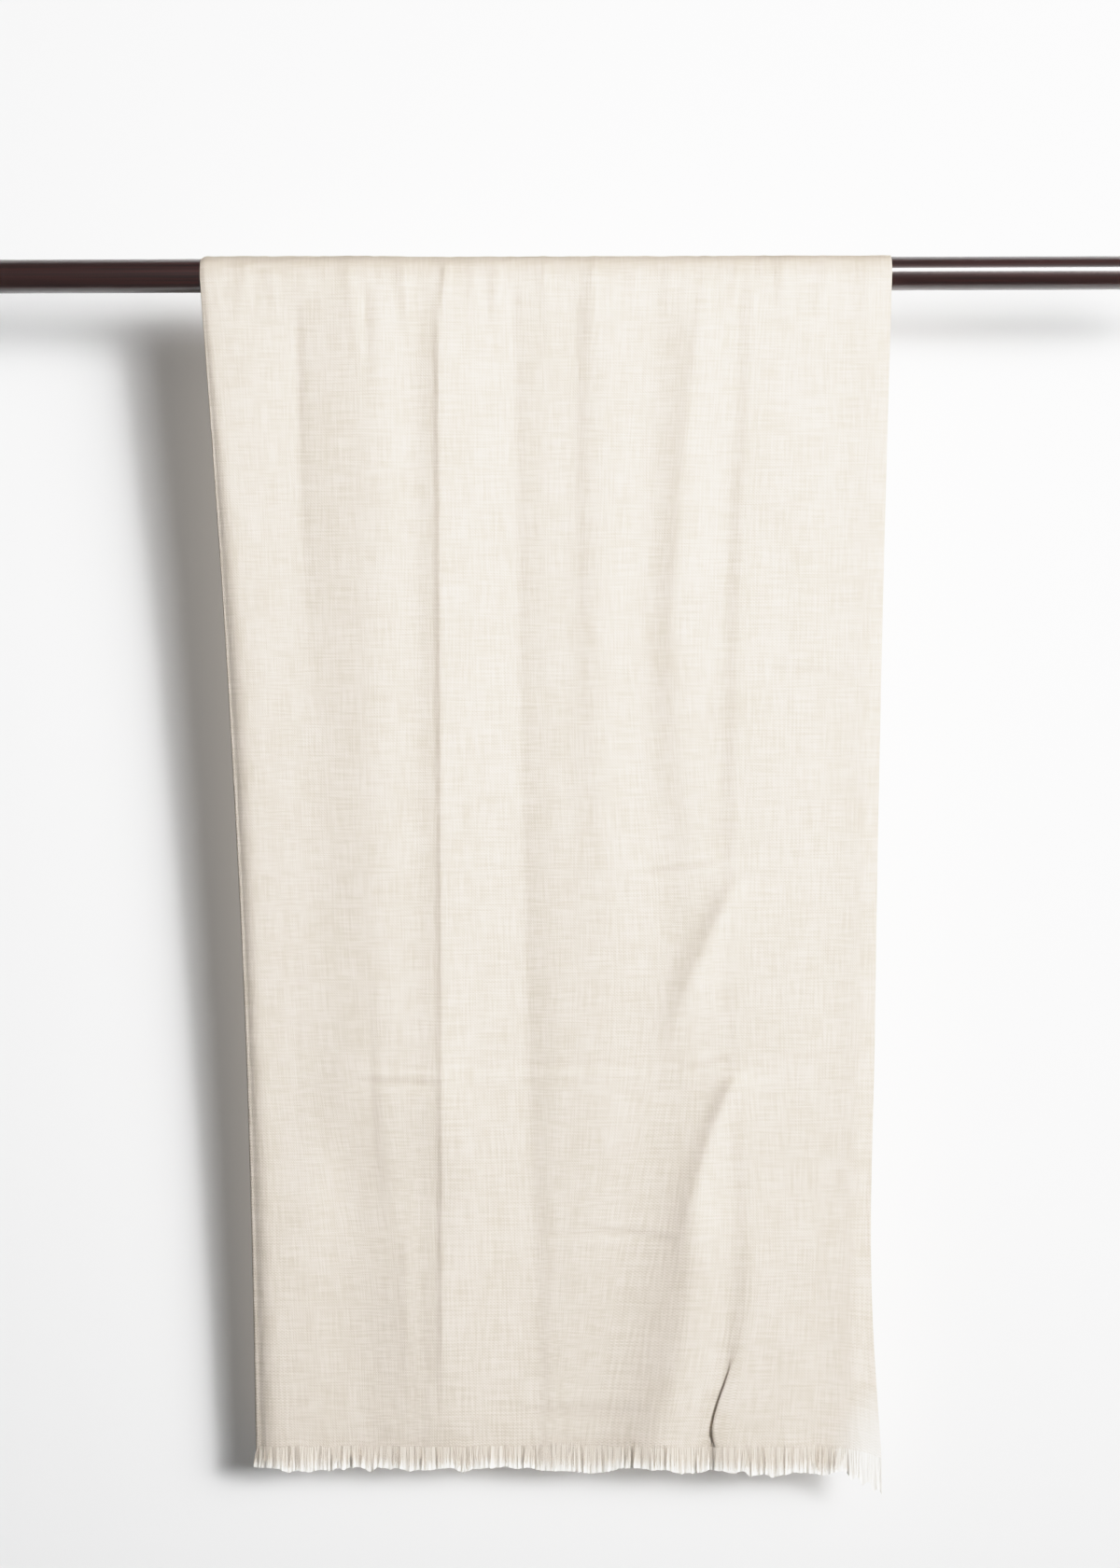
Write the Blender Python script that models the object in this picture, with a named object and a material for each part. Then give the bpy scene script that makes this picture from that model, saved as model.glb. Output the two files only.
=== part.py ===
"""Merino shawl hung over a round rail.

The rail runs along X, with the origin on its axis at mid-length. +Z is up and -Y faces the front fall.
The woven panel lies over the rail with its left side turned under all the way along, so each fall is
a broad panel, a rolled fold at the left and a narrow flap that hangs behind the panel.
"""

import math
from typing import NamedTuple

import bmesh
import bpy
import numpy as np

MM = 0.001

# Rail
RAIL_DIAMETER = 28 * MM
RAIL_LENGTH = 1100 * MM
RAIL_CHAMFER = 1 * MM
RAIL_SIDES = 32

# Cloth: one wall thickness everywhere, and a fine gap wherever two pieces or layers touch
WALL = 1.2 * MM
GAP = 0.3 * MM
RELIEF_STARTS = -10 * MM        # drop at which ridges and valleys begin, on the front of the rail
RELIEF_FULL = 40 * MM           # drop at which they have their whole height

# Sections of each fall, as drops below the rail's axis
LEVELS = (0, 300, 620, 860, 965)
FLAP_WIDTH = (129, 134, 140, 146, 150)      # turned-under width at each level, in millimetres
TURN_DEPTH = (1.5, 3.5, 5.0, 6.0, 7.0)      # panel to flap, middle to middle, at each level
FLAP_HEM_RISE = 13 * MM                     # how far the flap's hem climbs towards its selvedge
FLAP_CLEARANCE = 2 * MM                     # past the flap's selvedge before the panel steps down
FLAP_SHOWS_OVER = 12 * MM                   # width over which the panel steps down off the flap
GATHERS_RISE_OVER = 14 * MM                 # height above the rail's axis over which gathers rise
TUCK_OPENS = (830 * MM, 950 * MM)           # drops between which the tuck folds over itself
HEM_SHAPED_FROM = 800 * MM                  # drop below which the corner dips and the flap's hem rises
CORNER_WIDTH = 16 * MM

# Slanting folds, in shares of their own length
DRAG_STARTS = 0.12              # how far before its first point a fold begins to rise
DRAG_RISES_OVER = 0.3
DRAG_FADES = 0.75
DRAG_FADES_OVER = 0.4

# Fringe
STRIP_HEIGHT = 3 * MM
STRAND_PITCH = 7.5 * MM
STRAND_LENGTH = (10 * MM, 14.5 * MM)
STRAND_WAIST = 0.45             # width of a strand below its root, as a share of the root
STRAND_WAIST_AT = 0.3           # share of the strand's length at which the waist lies
STRAND_SWAY = 0.9 * MM
SHORTEST_ROOT = 3.5 * MM
CORNER_STRETCH = 0.8            # how much longer the strands get towards the right-hand corner
CORNER_REACH = 25 * MM          # how far from the corner they stay longer

# Mesh
RAIL_STEPS = 5                  # rows from the ridge to the front of the rail
NEAR_ROWS = (8, 20, 36, 58, 90)             # drops of the close rows under the rail, in millimetres
ROW_STEP = 50 * MM
HEM_ROW_STEP = 26 * MM
HEM_ROWS_FROM = 860 * MM
COLUMN_STEP = 18 * MM
COLUMN_CLEARANCE = 4            # millimetres from a line within which it gets no column of its own
TUCK_COLUMNS = 8
TURN_COLUMNS = 4
FLAP_COLUMNS = 5


class Line(NamedTuple):
    """A ridge or valley that runs down a fall: millimetres across and outwards at each of LEVELS."""

    name: str
    x: tuple
    out: tuple


class Gather(NamedTuple):
    """A short pucker that hangs from the rail, in millimetres."""

    x: float
    out: float
    half_width: float
    length: float


class Drag(NamedTuple):
    """A slanting fold in millimetres: a valley below it on the left, a ridge above it on the right."""

    from_x: float
    from_drop: float
    to_x: float
    to_drop: float
    out: float
    half_width: float


class Fall(NamedTuple):
    """One stretch of the cloth, from the ridge over the rail down to its hem."""

    side: int                   # -1 for the front, +1 for the back
    hem_drop: float             # millimetres below the rail's axis
    corner_dip: float           # how much lower the right-hand corner hangs, in millimetres
    overlap: float              # sideways reach of the tucked layer at the hem, in millimetres
    lines: tuple                # from the right-hand selvedge to the left-hand fold
    gathers: tuple
    drags: tuple


FRONT = Fall(
    side=-1,
    hem_drop=963,
    corner_dip=13,
    overlap=10,
    lines=(
        Line("selvedge", x=(275, 266, 259, 256, 263), out=(0.0, 0.5, 1.0, 1.0, 2.0)),
        Line("edge_ridge", x=(266, 257, 251, 249, 255), out=(0.6, 1.0, 1.6, 3.6, 4.5)),
        Line("edge_valley", x=(236, 230, 228, 232, 234), out=(0.0, 0.3, 0.4, 0.2, 0.8)),
        Line("panel_ridge", x=(202, 194, 190, 190, 184), out=(0.5, 1.0, 1.8, 2.8, 4.0)),
        Line("tuck_ridge", x=(171, 152, 147, 157, 145), out=(1.0, 2.0, 2.8, 4.4, 6.8)),
        Line("tuck_valley", x=(161, 142, 132, 140, 123), out=(-0.3, -0.8, -1.2, -1.8, -2.6)),
        Line("strip_ridge", x=(108, 106, 100, 98, 90), out=(0.8, 1.3, 1.8, 2.6, 2.8)),
        Line("soft_valley", x=(80, 76, 66, 48, 34), out=(-0.4, -0.9, -1.4, -3.0, -3.8)),
        Line("soft_ridge", x=(34, 31, 34, 12, 0), out=(0.6, 0.9, 0.4, -1.2, -1.6)),
        Line("band_valley", x=(-30, -28, -26, -25, -24), out=(-0.5, -1.1, -1.6, -2.2, -2.6)),
        Line("crease_ridge", x=(-94, -95, -96, -96, -96), out=(0.7, 1.4, 1.6, 1.4, 1.0)),
        Line("crease_foot", x=(-101, -102, -103, -103, -103), out=(0.0, 0.0, 0.1, 0.1, -0.2)),
        Line("left_ridge", x=(-150, -153, -152, -150, -148), out=(0.8, 1.2, 1.4, 1.8, 3.0)),
        Line("left_valley", x=(-210, -213, -208, -200, -196), out=(-0.7, -1.0, -0.8, -1.2, -1.8)),
        Line("roll_ridge", x=(-276, -256, -240, -234, -232), out=(0.8, 1.3, 1.6, 2.0, 2.6)),
        Line("left_fold", x=(-295.5, -276, -260.5, -254.5, -253), out=(0.0, -0.9, -1.6, -2.0, -2.4)),
    ),
    gathers=(
        Gather(x=-258, out=1.0, half_width=5, length=45),
        Gather(x=-215, out=1.3, half_width=6, length=70),
        Gather(x=-173, out=0.9, half_width=5, length=40),
        Gather(x=-128, out=1.1, half_width=5, length=60),
        Gather(x=-88, out=1.4, half_width=5, length=75),
        Gather(x=-54, out=1.2, half_width=6, length=80),
        Gather(x=-12, out=0.8, half_width=5, length=50),
        Gather(x=22, out=1.1, half_width=6, length=90),
        Gather(x=62, out=0.8, half_width=5, length=40),
        Gather(x=118, out=1.2, half_width=6, length=70),
        Gather(x=184, out=1.0, half_width=6, length=45),
        Gather(x=222, out=0.8, half_width=6, length=40),
    ),
    drags=(
        Drag(from_x=134, from_drop=500, to_x=72, to_drop=632, out=2.2, half_width=13),
        Drag(from_x=138, from_drop=655, to_x=34, to_drop=895, out=3.6, half_width=18),
    ),
)

BACK = Fall(
    side=1,
    hem_drop=955,
    corner_dip=4,
    overlap=0,
    lines=(
        Line("selvedge", x=(275, 262, 254, 250, 249), out=(0.0, 0.4, 0.8, 1.6, 2.4)),
        Line("edge_ridge", x=(258, 248, 240, 236, 234), out=(0.5, 1.0, 1.8, 3.0, 4.0)),
        Line("edge_valley", x=(214, 206, 202, 204, 206), out=(-0.3, -0.8, -1.4, -2.4, -3.2)),
        Line("right_ridge", x=(160, 152, 150, 146, 140), out=(0.6, 1.4, 2.4, 4.0, 5.4)),
        Line("right_valley", x=(96, 92, 88, 78, 70), out=(-0.5, -1.2, -2.0, -3.6, -4.6)),
        Line("middle_ridge", x=(30, 34, 30, 18, 10), out=(0.7, 1.4, 2.2, 3.0, 3.6)),
        Line("middle_valley", x=(-40, -36, -40, -48, -52), out=(-0.4, -1.0, -1.6, -2.2, -2.8)),
        Line("crease_ridge", x=(-94, -95, -96, -96, -96), out=(0.7, 1.4, 1.6, 1.6, 1.4)),
        Line("crease_foot", x=(-101, -102, -103, -103, -103), out=(0.0, 0.0, 0.1, 0.2, 0.2)),
        Line("left_ridge", x=(-158, -158, -156, -154, -152), out=(0.8, 1.2, 1.8, 2.6, 3.4)),
        Line("left_valley", x=(-222, -216, -208, -202, -200), out=(-0.6, -1.0, -1.4, -1.8, -2.2)),
        Line("roll_ridge", x=(-276, -254, -238, -231, -229), out=(0.8, 1.2, 1.5, 2.0, 2.6)),
        Line("left_fold", x=(-295.5, -273, -256, -249.5, -248), out=(0.0, -0.8, -1.4, -1.8, -2.2)),
    ),
    gathers=(
        Gather(x=-190, out=1.1, half_width=6, length=60),
        Gather(x=-126, out=1.2, half_width=6, length=75),
        Gather(x=-66, out=1.1, half_width=6, length=55),
        Gather(x=-6, out=1.3, half_width=6, length=85),
        Gather(x=62, out=0.9, half_width=6, length=50),
        Gather(x=128, out=1.2, half_width=6, length=70),
        Gather(x=188, out=0.9, half_width=6, length=45),
    ),
    drags=(
        Drag(from_x=-90, from_drop=560, to_x=-12, to_drop=760, out=2.0, half_width=18),
    ),
)

# Radius of the middle of a single layer on the rail, and the drop taken by its quarter turn
LAYER_RADIUS = RAIL_DIAMETER / 2 + GAP + WALL / 2
QUARTER_TURN = LAYER_RADIUS * math.pi / 2


def ease(t):
    """0 below t = 0, 1 above t = 1, and half a cosine wave between them."""
    return (1 - np.cos(math.pi * np.clip(t, 0, 1))) / 2


def through(values, drop):
    """Smooth cubic through values, given in millimetres at LEVELS, read at each drop in metres."""
    knots = np.array(LEVELS, float)
    heights = np.array(values, float)
    slopes = np.gradient(heights, knots)
    at = np.clip(drop / MM, knots[0], knots[-1])
    low = np.clip(np.searchsorted(knots, at, side="right") - 1, 0, len(knots) - 2)
    span = knots[low + 1] - knots[low]
    t = (at - knots[low]) / span
    start = (1 + 2 * t) * (1 - t) ** 2 * heights[low] + t * (1 - t) ** 2 * span * slopes[low]
    end = t * t * (3 - 2 * t) * heights[low + 1] - t * t * (1 - t) * span * slopes[low + 1]
    return (start + end) * MM


def row_drops(fall):
    """Drops of the rows of a fall: over the rail, close under it, down the fall and at the hem."""
    first = -QUARTER_TURN + GAP / 2 * LAYER_RADIUS / (RAIL_DIAMETER / 2)
    over_rail = np.linspace(-QUARTER_TURN, 0, RAIL_STEPS + 1)
    over_rail[0] = first
    near = np.array(NEAR_ROWS) * MM
    hem = fall.hem_drop * MM
    middle_count = round((HEM_ROWS_FROM - near[-1]) / ROW_STEP)
    middle = np.linspace(near[-1], HEM_ROWS_FROM, middle_count + 1)[1:]
    last_count = round((hem - HEM_ROWS_FROM) / HEM_ROW_STEP)
    last = np.linspace(HEM_ROWS_FROM, hem, last_count + 1)[1:]
    return np.concatenate((over_rail, near, middle, last))


def panel_columns(fall):
    """Columns of the panel, each as the line to its right and its share of the way to the next line.

    Every line has a column, and so has each gather and the foot of the step off the flap.
    """
    line_at, share_at = [], []
    names = [line.name for line in fall.lines]
    flap_step = fall.lines[-1].x[0] + FLAP_WIDTH[0] + FLAP_CLEARANCE / MM
    features = [gather.x for gather in fall.gathers] + [flap_step]
    for k, (line, following) in enumerate(zip(fall.lines, fall.lines[1:])):
        width = line.x[0] - following.x[0]
        marks = [0.0, 1.0]
        for feature in features:
            share = (line.x[0] - feature) / width
            if min(share, 1 - share) * width > COLUMN_CLEARANCE:
                marks.append(share)
        marks.sort()
        for low, high in zip(marks, marks[1:]):
            count = math.ceil((high - low) * width * MM / COLUMN_STEP)
            if names[k] == "tuck_ridge":
                count = TUCK_COLUMNS
            for step in range(count):
                line_at.append(k)
                share_at.append(low + (high - low) * step / count)
    line_at.append(len(fall.lines) - 2)
    share_at.append(1.0)
    return np.array(line_at), np.array(share_at)


def gather_height(fall, x, drop):
    """Outward height of the puckers: a bell across each, from the rail's front to its own length."""
    height = np.zeros_like(x)
    for gather in fall.gathers:
        across = np.exp(-(((x / MM - gather.x) / gather.half_width) ** 2))
        below = 1 - ease(drop / (gather.length * MM))
        height += gather.out * MM * across * below * ease(1 + drop / GATHERS_RISE_OVER)
    return height


def drag_height(fall, x, drop):
    """Outward height of the slanting folds: a valley and a ridge on either side of each line."""
    height = np.zeros_like(x)
    for drag in fall.drags:
        run = np.array((drag.to_x - drag.from_x, drag.to_drop - drag.from_drop))
        length = np.hypot(*run)
        along_x, along_drop = run / length
        from_x = x / MM - drag.from_x
        from_drop = drop / MM - drag.from_drop
        along = (from_x * along_x + from_drop * along_drop) / length
        across = (from_x * along_drop - from_drop * along_x) / drag.half_width
        fade = ease((along + DRAG_STARTS) / DRAG_RISES_OVER)
        fade *= 1 - ease((along - DRAG_FADES) / DRAG_FADES_OVER)
        height += drag.out * MM * across * np.exp((1 - across**2) / 2) * fade
    return height


def fall_middle(fall):
    """Grid of points in the middle of a fall's wall, row by row from the ridge to the hem.

    Columns run from the right-hand selvedge along the panel, round the rolled fold at the left, and
    back along the flap. Each row lofts the fall's lines: a straight share of the way across from one
    line to the next, and half a cosine wave outwards. At the tuck a sine carries the middle layer
    back under the panel to its right.
    """
    drop = row_drops(fall)[:, None]
    line_x = np.stack([through(line.x, drop[:, 0]) for line in fall.lines], axis=1)
    line_out = np.stack([through(line.out, drop[:, 0]) for line in fall.lines], axis=1)
    turn_radius = through(TURN_DEPTH, drop) / 2
    flap_end = line_x[:, -1:] + through(FLAP_WIDTH, drop)
    left_edge = line_x[:, -1:].copy()
    line_x[:, -1:] += turn_radius
    relief = ease((drop - RELIEF_STARTS) / (RELIEF_FULL - RELIEF_STARTS))

    def over_flap(x):
        return (WALL + GAP) * (1 - ease((x - flap_end - FLAP_CLEARANCE) / FLAP_SHOWS_OVER))

    def lofted_out(x):
        passed = (line_x[:, None, :] > x[:, :, None]).sum(axis=2) - 1
        low = np.clip(passed, 0, line_x.shape[1] - 2)
        right_x = np.take_along_axis(line_x, low, axis=1)
        left_x = np.take_along_axis(line_x, low + 1, axis=1)
        right_out = np.take_along_axis(line_out, low, axis=1)
        left_out = np.take_along_axis(line_out, low + 1, axis=1)
        return right_out + (left_out - right_out) * ease((right_x - x) / (right_x - left_x))

    # Panel
    line_at, share_at = panel_columns(fall)
    tuck_at = [line.name for line in fall.lines].index("tuck_ridge") if fall.overlap else -1
    panel_x = line_x[:, line_at] * (1 - share_at) + line_x[:, line_at + 1] * share_at
    panel_out = line_out[:, line_at] + (line_out[:, line_at + 1] - line_out[:, line_at]) * ease(share_at)
    lean = fall.overlap * MM * ease((drop - TUCK_OPENS[0]) / (TUCK_OPENS[1] - TUCK_OPENS[0]))
    panel_x += lean * np.sin(math.pi * (2 * share_at - 1)) * (line_at == tuck_at)
    panel = over_flap(panel_x) + relief * panel_out
    panel += gather_height(fall, panel_x, drop) + drag_height(fall, panel_x, drop)

    # Rolled fold at the left: half a circle from the panel to the flap
    angle = np.linspace(0, math.pi, TURN_COLUMNS + 1)[1:]
    turn_x = left_edge + turn_radius * (1 - np.sin(angle))
    turn = panel[:, -1:] - turn_radius * (1 - np.cos(angle))

    # Flap: follows the panel, set back by the depth of the turn
    share = np.linspace(0, 1, FLAP_COLUMNS + 1)[1:]
    flap_x = left_edge + turn_radius + (flap_end - left_edge - turn_radius) * share
    flap = over_flap(flap_x) + relief * lofted_out(flap_x) - 2 * turn_radius

    x = np.concatenate((panel_x, turn_x, flap_x), axis=1)
    out = np.concatenate((panel, turn, flap), axis=1)
    dip = np.zeros_like(x)
    dip[:, : panel_x.shape[1]] = fall.corner_dip * MM * np.exp((panel_x - line_x[:, :1]) / CORNER_WIDTH)
    dip[:, -FLAP_COLUMNS:] = -FLAP_HEM_RISE * share
    dip *= ease((drop - HEM_SHAPED_FROM) / (fall.hem_drop * MM - HEM_SHAPED_FROM))

    radius = LAYER_RADIUS + out
    angle = np.clip((drop + QUARTER_TURN) / LAYER_RADIUS, 0, math.pi / 2)
    y = fall.side * radius * np.sin(angle)
    z = radius * np.cos(angle) - np.maximum(drop, 0) - dip
    return np.stack((x, y, z), axis=2)


def wall_normals(middle):
    """Unit normals of a grid of points, from the chords between each point's neighbours."""
    down = np.gradient(middle, axis=0)
    across = np.gradient(middle, axis=1)
    normals = np.cross(across, down)
    return normals / np.linalg.norm(normals, axis=2, keepdims=True)


def make_object(name, mesh, material):
    """Put a mesh in the scene as an object with one material, smooth but for its sharp edges."""
    mesh.materials.append(material)
    mesh.shade_smooth()
    mesh.set_sharp_from_angle(angle=math.radians(50))
    obj = bpy.data.objects.new(name, mesh)
    bpy.context.scene.collection.objects.link(obj)
    return obj


def close_outwards(bm):
    """Turn all faces of a closed mesh the same way, pointing out."""
    bmesh.ops.recalc_face_normals(bm, faces=bm.faces)
    if bm.calc_volume(signed=True) < 0:
        bmesh.ops.reverse_faces(bm, faces=bm.faces)


def make_wall(name, middle, material):
    """Closed wall of even thickness about a grid of points, its two faces joined round all four rims."""
    normals = wall_normals(middle)
    rows, columns = middle.shape[:2]
    points = np.concatenate((
        (middle + normals * WALL / 2).reshape(-1, 3),
        (middle - normals * WALL / 2).reshape(-1, 3),
    ))
    outer = np.arange(rows * columns).reshape(rows, columns)
    inner = outer + rows * columns

    def quads(corner, right, opposite, below):
        return np.stack((corner, right, opposite, below), axis=-1).reshape(-1, 4)

    rim = np.concatenate((outer[0, :-1], outer[:-1, -1], outer[-1, :0:-1], outer[:0:-1, 0]))
    ahead = np.roll(rim, -1)
    faces = np.concatenate((
        quads(outer[:-1, :-1], outer[:-1, 1:], outer[1:, 1:], outer[1:, :-1]),
        quads(inner[:-1, :-1], inner[1:, :-1], inner[1:, 1:], inner[:-1, 1:]),
        quads(rim, rim + rows * columns, ahead + rows * columns, ahead),
    ))
    mesh = bpy.data.meshes.new(name)
    mesh.from_pydata(points.tolist(), [], faces.tolist())
    bm = bmesh.new()
    bm.from_mesh(mesh)
    close_outwards(bm)
    bm.to_mesh(mesh)
    bm.free()
    return make_object(name, mesh, material)


def strip_nodes(middle):
    """Points and normals along a hem, with each stretch between columns split near the strand pitch."""
    hem = middle[-1]
    normals = wall_normals(middle)[-1]
    points, directions = [hem[:1]], [normals[:1]]
    for start, end, n_start, n_end in zip(hem, hem[1:], normals, normals[1:]):
        count = max(1, round(np.linalg.norm(end - start) / STRAND_PITCH))
        share = (np.arange(1, count + 1) / count)[:, None]
        points.append(start + (end - start) * share)
        directions.append(n_start + (n_end - n_start) * share)
    directions = np.concatenate(directions) * (1, 1, 0)
    return np.concatenate(points), directions / np.linalg.norm(directions, axis=1, keepdims=True)


def make_fringe(name, middle, material, seed):
    """Eyelash fringe: a narrow strip a fine gap under the hem, with a tapering strand from each root."""
    rng = np.random.default_rng(seed)
    points, normals = strip_nodes(middle)
    bm = bmesh.new()
    rings = []
    for point, normal in zip(points, normals):
        ring = []
        for side, below in ((1, 0), (-1, 0), (-1, STRIP_HEIGHT), (1, STRIP_HEIGHT)):
            corner = point + normal * side * WALL / 2
            corner[2] -= GAP + below
            ring.append(bm.verts.new(corner))
        rings.append(ring)
    right_end = points[0][0]
    roots = []
    for ring, following in zip(rings, rings[1:]):
        for i in range(4):
            j = (i + 1) % 4
            face = bm.faces.new((ring[i], ring[j], following[j], following[i]))
            if i == 2 and (ring[i].co - following[i].co).length > SHORTEST_ROOT:
                roots.append(face)
    bm.faces.new(rings[0])
    bm.faces.new(rings[-1])

    for root in roots:
        centre = root.calc_center_median()
        stretch = CORNER_STRETCH * math.exp((centre.x - right_end) / CORNER_REACH)
        length = rng.uniform(*STRAND_LENGTH) * (1 + stretch)
        sway = rng.uniform(-STRAND_SWAY, STRAND_SWAY)
        waist = bmesh.ops.extrude_discrete_faces(bm, faces=[root])["faces"][0]
        for vert in waist.verts:
            vert.co = centre + (vert.co - centre) * STRAND_WAIST
            vert.co.z -= length * STRAND_WAIST_AT
        tip = bmesh.ops.extrude_discrete_faces(bm, faces=[waist])["faces"][0]
        end = centre.copy()
        end.x += sway
        end.z -= length
        bmesh.ops.pointmerge(bm, verts=tip.verts, merge_co=end)
    close_outwards(bm)
    mesh = bpy.data.meshes.new(name)
    bm.to_mesh(mesh)
    bm.free()
    return make_object(name, mesh, material)


def make_rail(material):
    """Round rail along X with a small chamfer round each flat end."""
    bm = bmesh.new()
    radius = RAIL_DIAMETER / 2
    bmesh.ops.create_cone(
        bm, cap_ends=True, segments=RAIL_SIDES, radius1=radius, radius2=radius, depth=RAIL_LENGTH
    )
    ends = [edge for edge in bm.edges if len({round(v.co.z, 6) for v in edge.verts}) == 1]
    bmesh.ops.bevel(bm, geom=ends, offset=RAIL_CHAMFER, segments=1, affect="EDGES")
    close_outwards(bm)
    mesh = bpy.data.meshes.new("rail")
    bm.to_mesh(mesh)
    bm.free()
    rail = make_object("rail", mesh, material)
    rail.rotation_euler = (0, math.pi / 2, 0)
    return rail


def make_material(name, colour, roughness, sheen=0.0, coat=0.0):
    """Principled material of one colour."""
    material = bpy.data.materials.new(name)
    material.use_nodes = True
    shader = material.node_tree.nodes["Principled BSDF"]
    shader.inputs["Base Color"].default_value = (*colour, 1)
    shader.inputs["Roughness"].default_value = roughness
    shader.inputs["Metallic"].default_value = 0.0
    shader.inputs["Sheen Weight"].default_value = sheen
    shader.inputs["Coat Weight"].default_value = coat
    return material


def main():
    for obj in list(bpy.data.objects):
        bpy.data.objects.remove(obj)

    wool = make_material("cream merino", (0.87, 0.82, 0.74), 0.85, sheen=0.3)
    ends = make_material("loose merino ends", (0.91, 0.87, 0.80), 0.9, sheen=0.3)
    lacquer = make_material("dark lacquered wood", (0.045, 0.022, 0.018), 0.22, coat=0.6)

    front = fall_middle(FRONT)
    back = fall_middle(BACK)
    pieces = (
        make_rail(lacquer),
        make_wall("shawl_front", front, wool),
        make_wall("shawl_back", back, wool),
        make_fringe("fringe_front", front, ends, seed=7),
        make_fringe("fringe_back", back, ends, seed=11),
    )
    hold = bpy.data.objects.new("rail_hold", None)
    bpy.context.scene.collection.objects.link(hold)
    for piece in pieces:
        piece.parent = hold


main()
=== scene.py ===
"""Cream merino shawl hung over a dark lacquered rail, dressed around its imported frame.

The rail runs along X with the origin on its axis, +Z is up and -Y faces the front fall. The cloth is
one plain-woven panel laid over the rail, with its left side turned under all the way along and an
eyelash fringe at both ends. Tables are in millimetres, and everything else is in metres.
"""

import math
from typing import NamedTuple

import bpy
import numpy as np
from bpy.props import FloatProperty, FloatVectorProperty, IntProperty, PointerProperty
from bpy.types import Operator, Panel, PropertyGroup
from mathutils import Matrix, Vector


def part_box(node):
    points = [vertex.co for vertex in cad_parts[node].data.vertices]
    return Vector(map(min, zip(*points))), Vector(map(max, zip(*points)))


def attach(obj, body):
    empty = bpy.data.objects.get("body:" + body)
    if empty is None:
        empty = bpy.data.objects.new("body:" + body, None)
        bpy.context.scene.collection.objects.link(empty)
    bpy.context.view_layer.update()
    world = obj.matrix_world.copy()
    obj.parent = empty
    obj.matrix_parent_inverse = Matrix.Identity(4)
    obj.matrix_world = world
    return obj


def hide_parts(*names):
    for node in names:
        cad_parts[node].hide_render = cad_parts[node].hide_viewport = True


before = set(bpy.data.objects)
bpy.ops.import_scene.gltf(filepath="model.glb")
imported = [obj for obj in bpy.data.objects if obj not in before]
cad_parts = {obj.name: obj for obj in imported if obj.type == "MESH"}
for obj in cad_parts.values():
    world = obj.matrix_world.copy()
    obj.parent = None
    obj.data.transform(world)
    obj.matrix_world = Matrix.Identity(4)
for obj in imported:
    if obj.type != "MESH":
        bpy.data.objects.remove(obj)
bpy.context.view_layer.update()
RAIL_LOW, RAIL_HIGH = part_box("rail")

bl_info = {
    "name": "Merino shawl on a rail",
    "version": (1, 0, 0),
    "blender": (4, 5, 0),
    "location": "3D View > Sidebar > Shawl",
    "description": "Hangs a fringed merino shawl over a lacquered rail",
    "category": "Add Mesh",
}

MM = 0.001
RAIL_RADIUS = (RAIL_HIGH[2] - RAIL_LOW[2]) / 2
RAIL_LENGTH = RAIL_HIGH[0] - RAIL_LOW[0]
SHARP_FROM = math.radians(60)  # angle between faces from which an edge is shaded sharp

# Sections of each fall, as drops below the rail's axis, and sizes in millimetres at each of them
LEVELS = (0, 300, 620, 860, 965)
FLAP_WIDTH = (129, 134, 140, 146, 150)  # width that is turned under
TURN_DEPTH = (1.5, 3.5, 5.0, 6.0, 7.0)  # depth of the rolled fold between the panel and the flap
ROLL_WIDTH = (6, 20, 17, 21, 22)  # width over which the panel rolls into the fold
ROLL_SLOPE = 0.95  # slope of the panel where it meets the fold

CLOTH_WIDTH = 700 * MM  # selvedge to selvedge, before the left side is turned under
RAIL_CLEARANCE = 0.15 * MM  # between the rail and the cloth over it
LAYER_STEP = 0.9 * MM  # how far the panel stands out where it lies over the flap
FLAP_CLEARANCE = 2 * MM  # past the flap's selvedge before the panel steps down
FLAP_SHOWS_OVER = 60 * MM  # width over which the panel steps down off the flap
RELIEF_STARTS = -10 * MM  # drop at which folds begin, on the front of the rail
RELIEF_FULL = 40 * MM  # drop at which they have their whole height
GATHERS_RISE_OVER = 14 * MM  # height above the rail's axis over which puckers rise
GROOVES_START = 4 * MM  # drop below which a hollow pucker clears the rail
GROOVES_RISE_OVER = 25 * MM  # height over which it deepens
TUCK_OPENS = (875 * MM, 945 * MM)  # drops between which the layers of the tuck part
TUCK_CLOSES = (950 * MM, 973 * MM)  # drops between which they come together again
PRESS_FADES_OVER = 0.25  # share of its length over which a pressed crease dies away at each end
CRINKLE_HEIGHT = 0.34 * MM  # fine crinkles where the cloth bends over the rail
CRINKLE_SIZE = 7 * MM
CRINKLE_ENDS = 70 * MM  # drop at which they have died away
HEM_CURL = 1.6 * MM  # how far the hem curls back
HEM_CURL_HEIGHT = 30 * MM  # height above the hem at which it starts
HEM_SHAPED_FROM = 800 * MM  # drop below which the rows bend to the line of the hem
CORNER_WIDTH = 16 * MM  # distance from the selvedge in which its corner's dip falls e times
FLAP_HEM_RISE = 13 * MM  # how much higher the flap's hem is at its selvedge than at the fold
HEM_WAVER = 1.1 * MM  # how far the frayed hem line wavers up and down
HEM_WAVER_SIZE = 8 * MM
HEM_WAVER_FROM = 20 * MM  # height above the hem at which it starts
ROWS_OVER_RAIL = 12  # mesh rows from the ridge down to the height of the rail's axis
TURN_COLUMNS = 9  # mesh columns round the rolled fold

FRAYED_AT = (0.272, -0.985)  # X and Z of the frayed corner of the front fall
FRAYED_REACH = (0.055, 0.075)  # across and down, how far the painted light that comes through it reaches
FRAYED_FROM = 215 * MM  # across, from where the yarns of the fringe lose their painted shade
FRAYED_OVER = 30 * MM  # width over which they lose it
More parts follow.
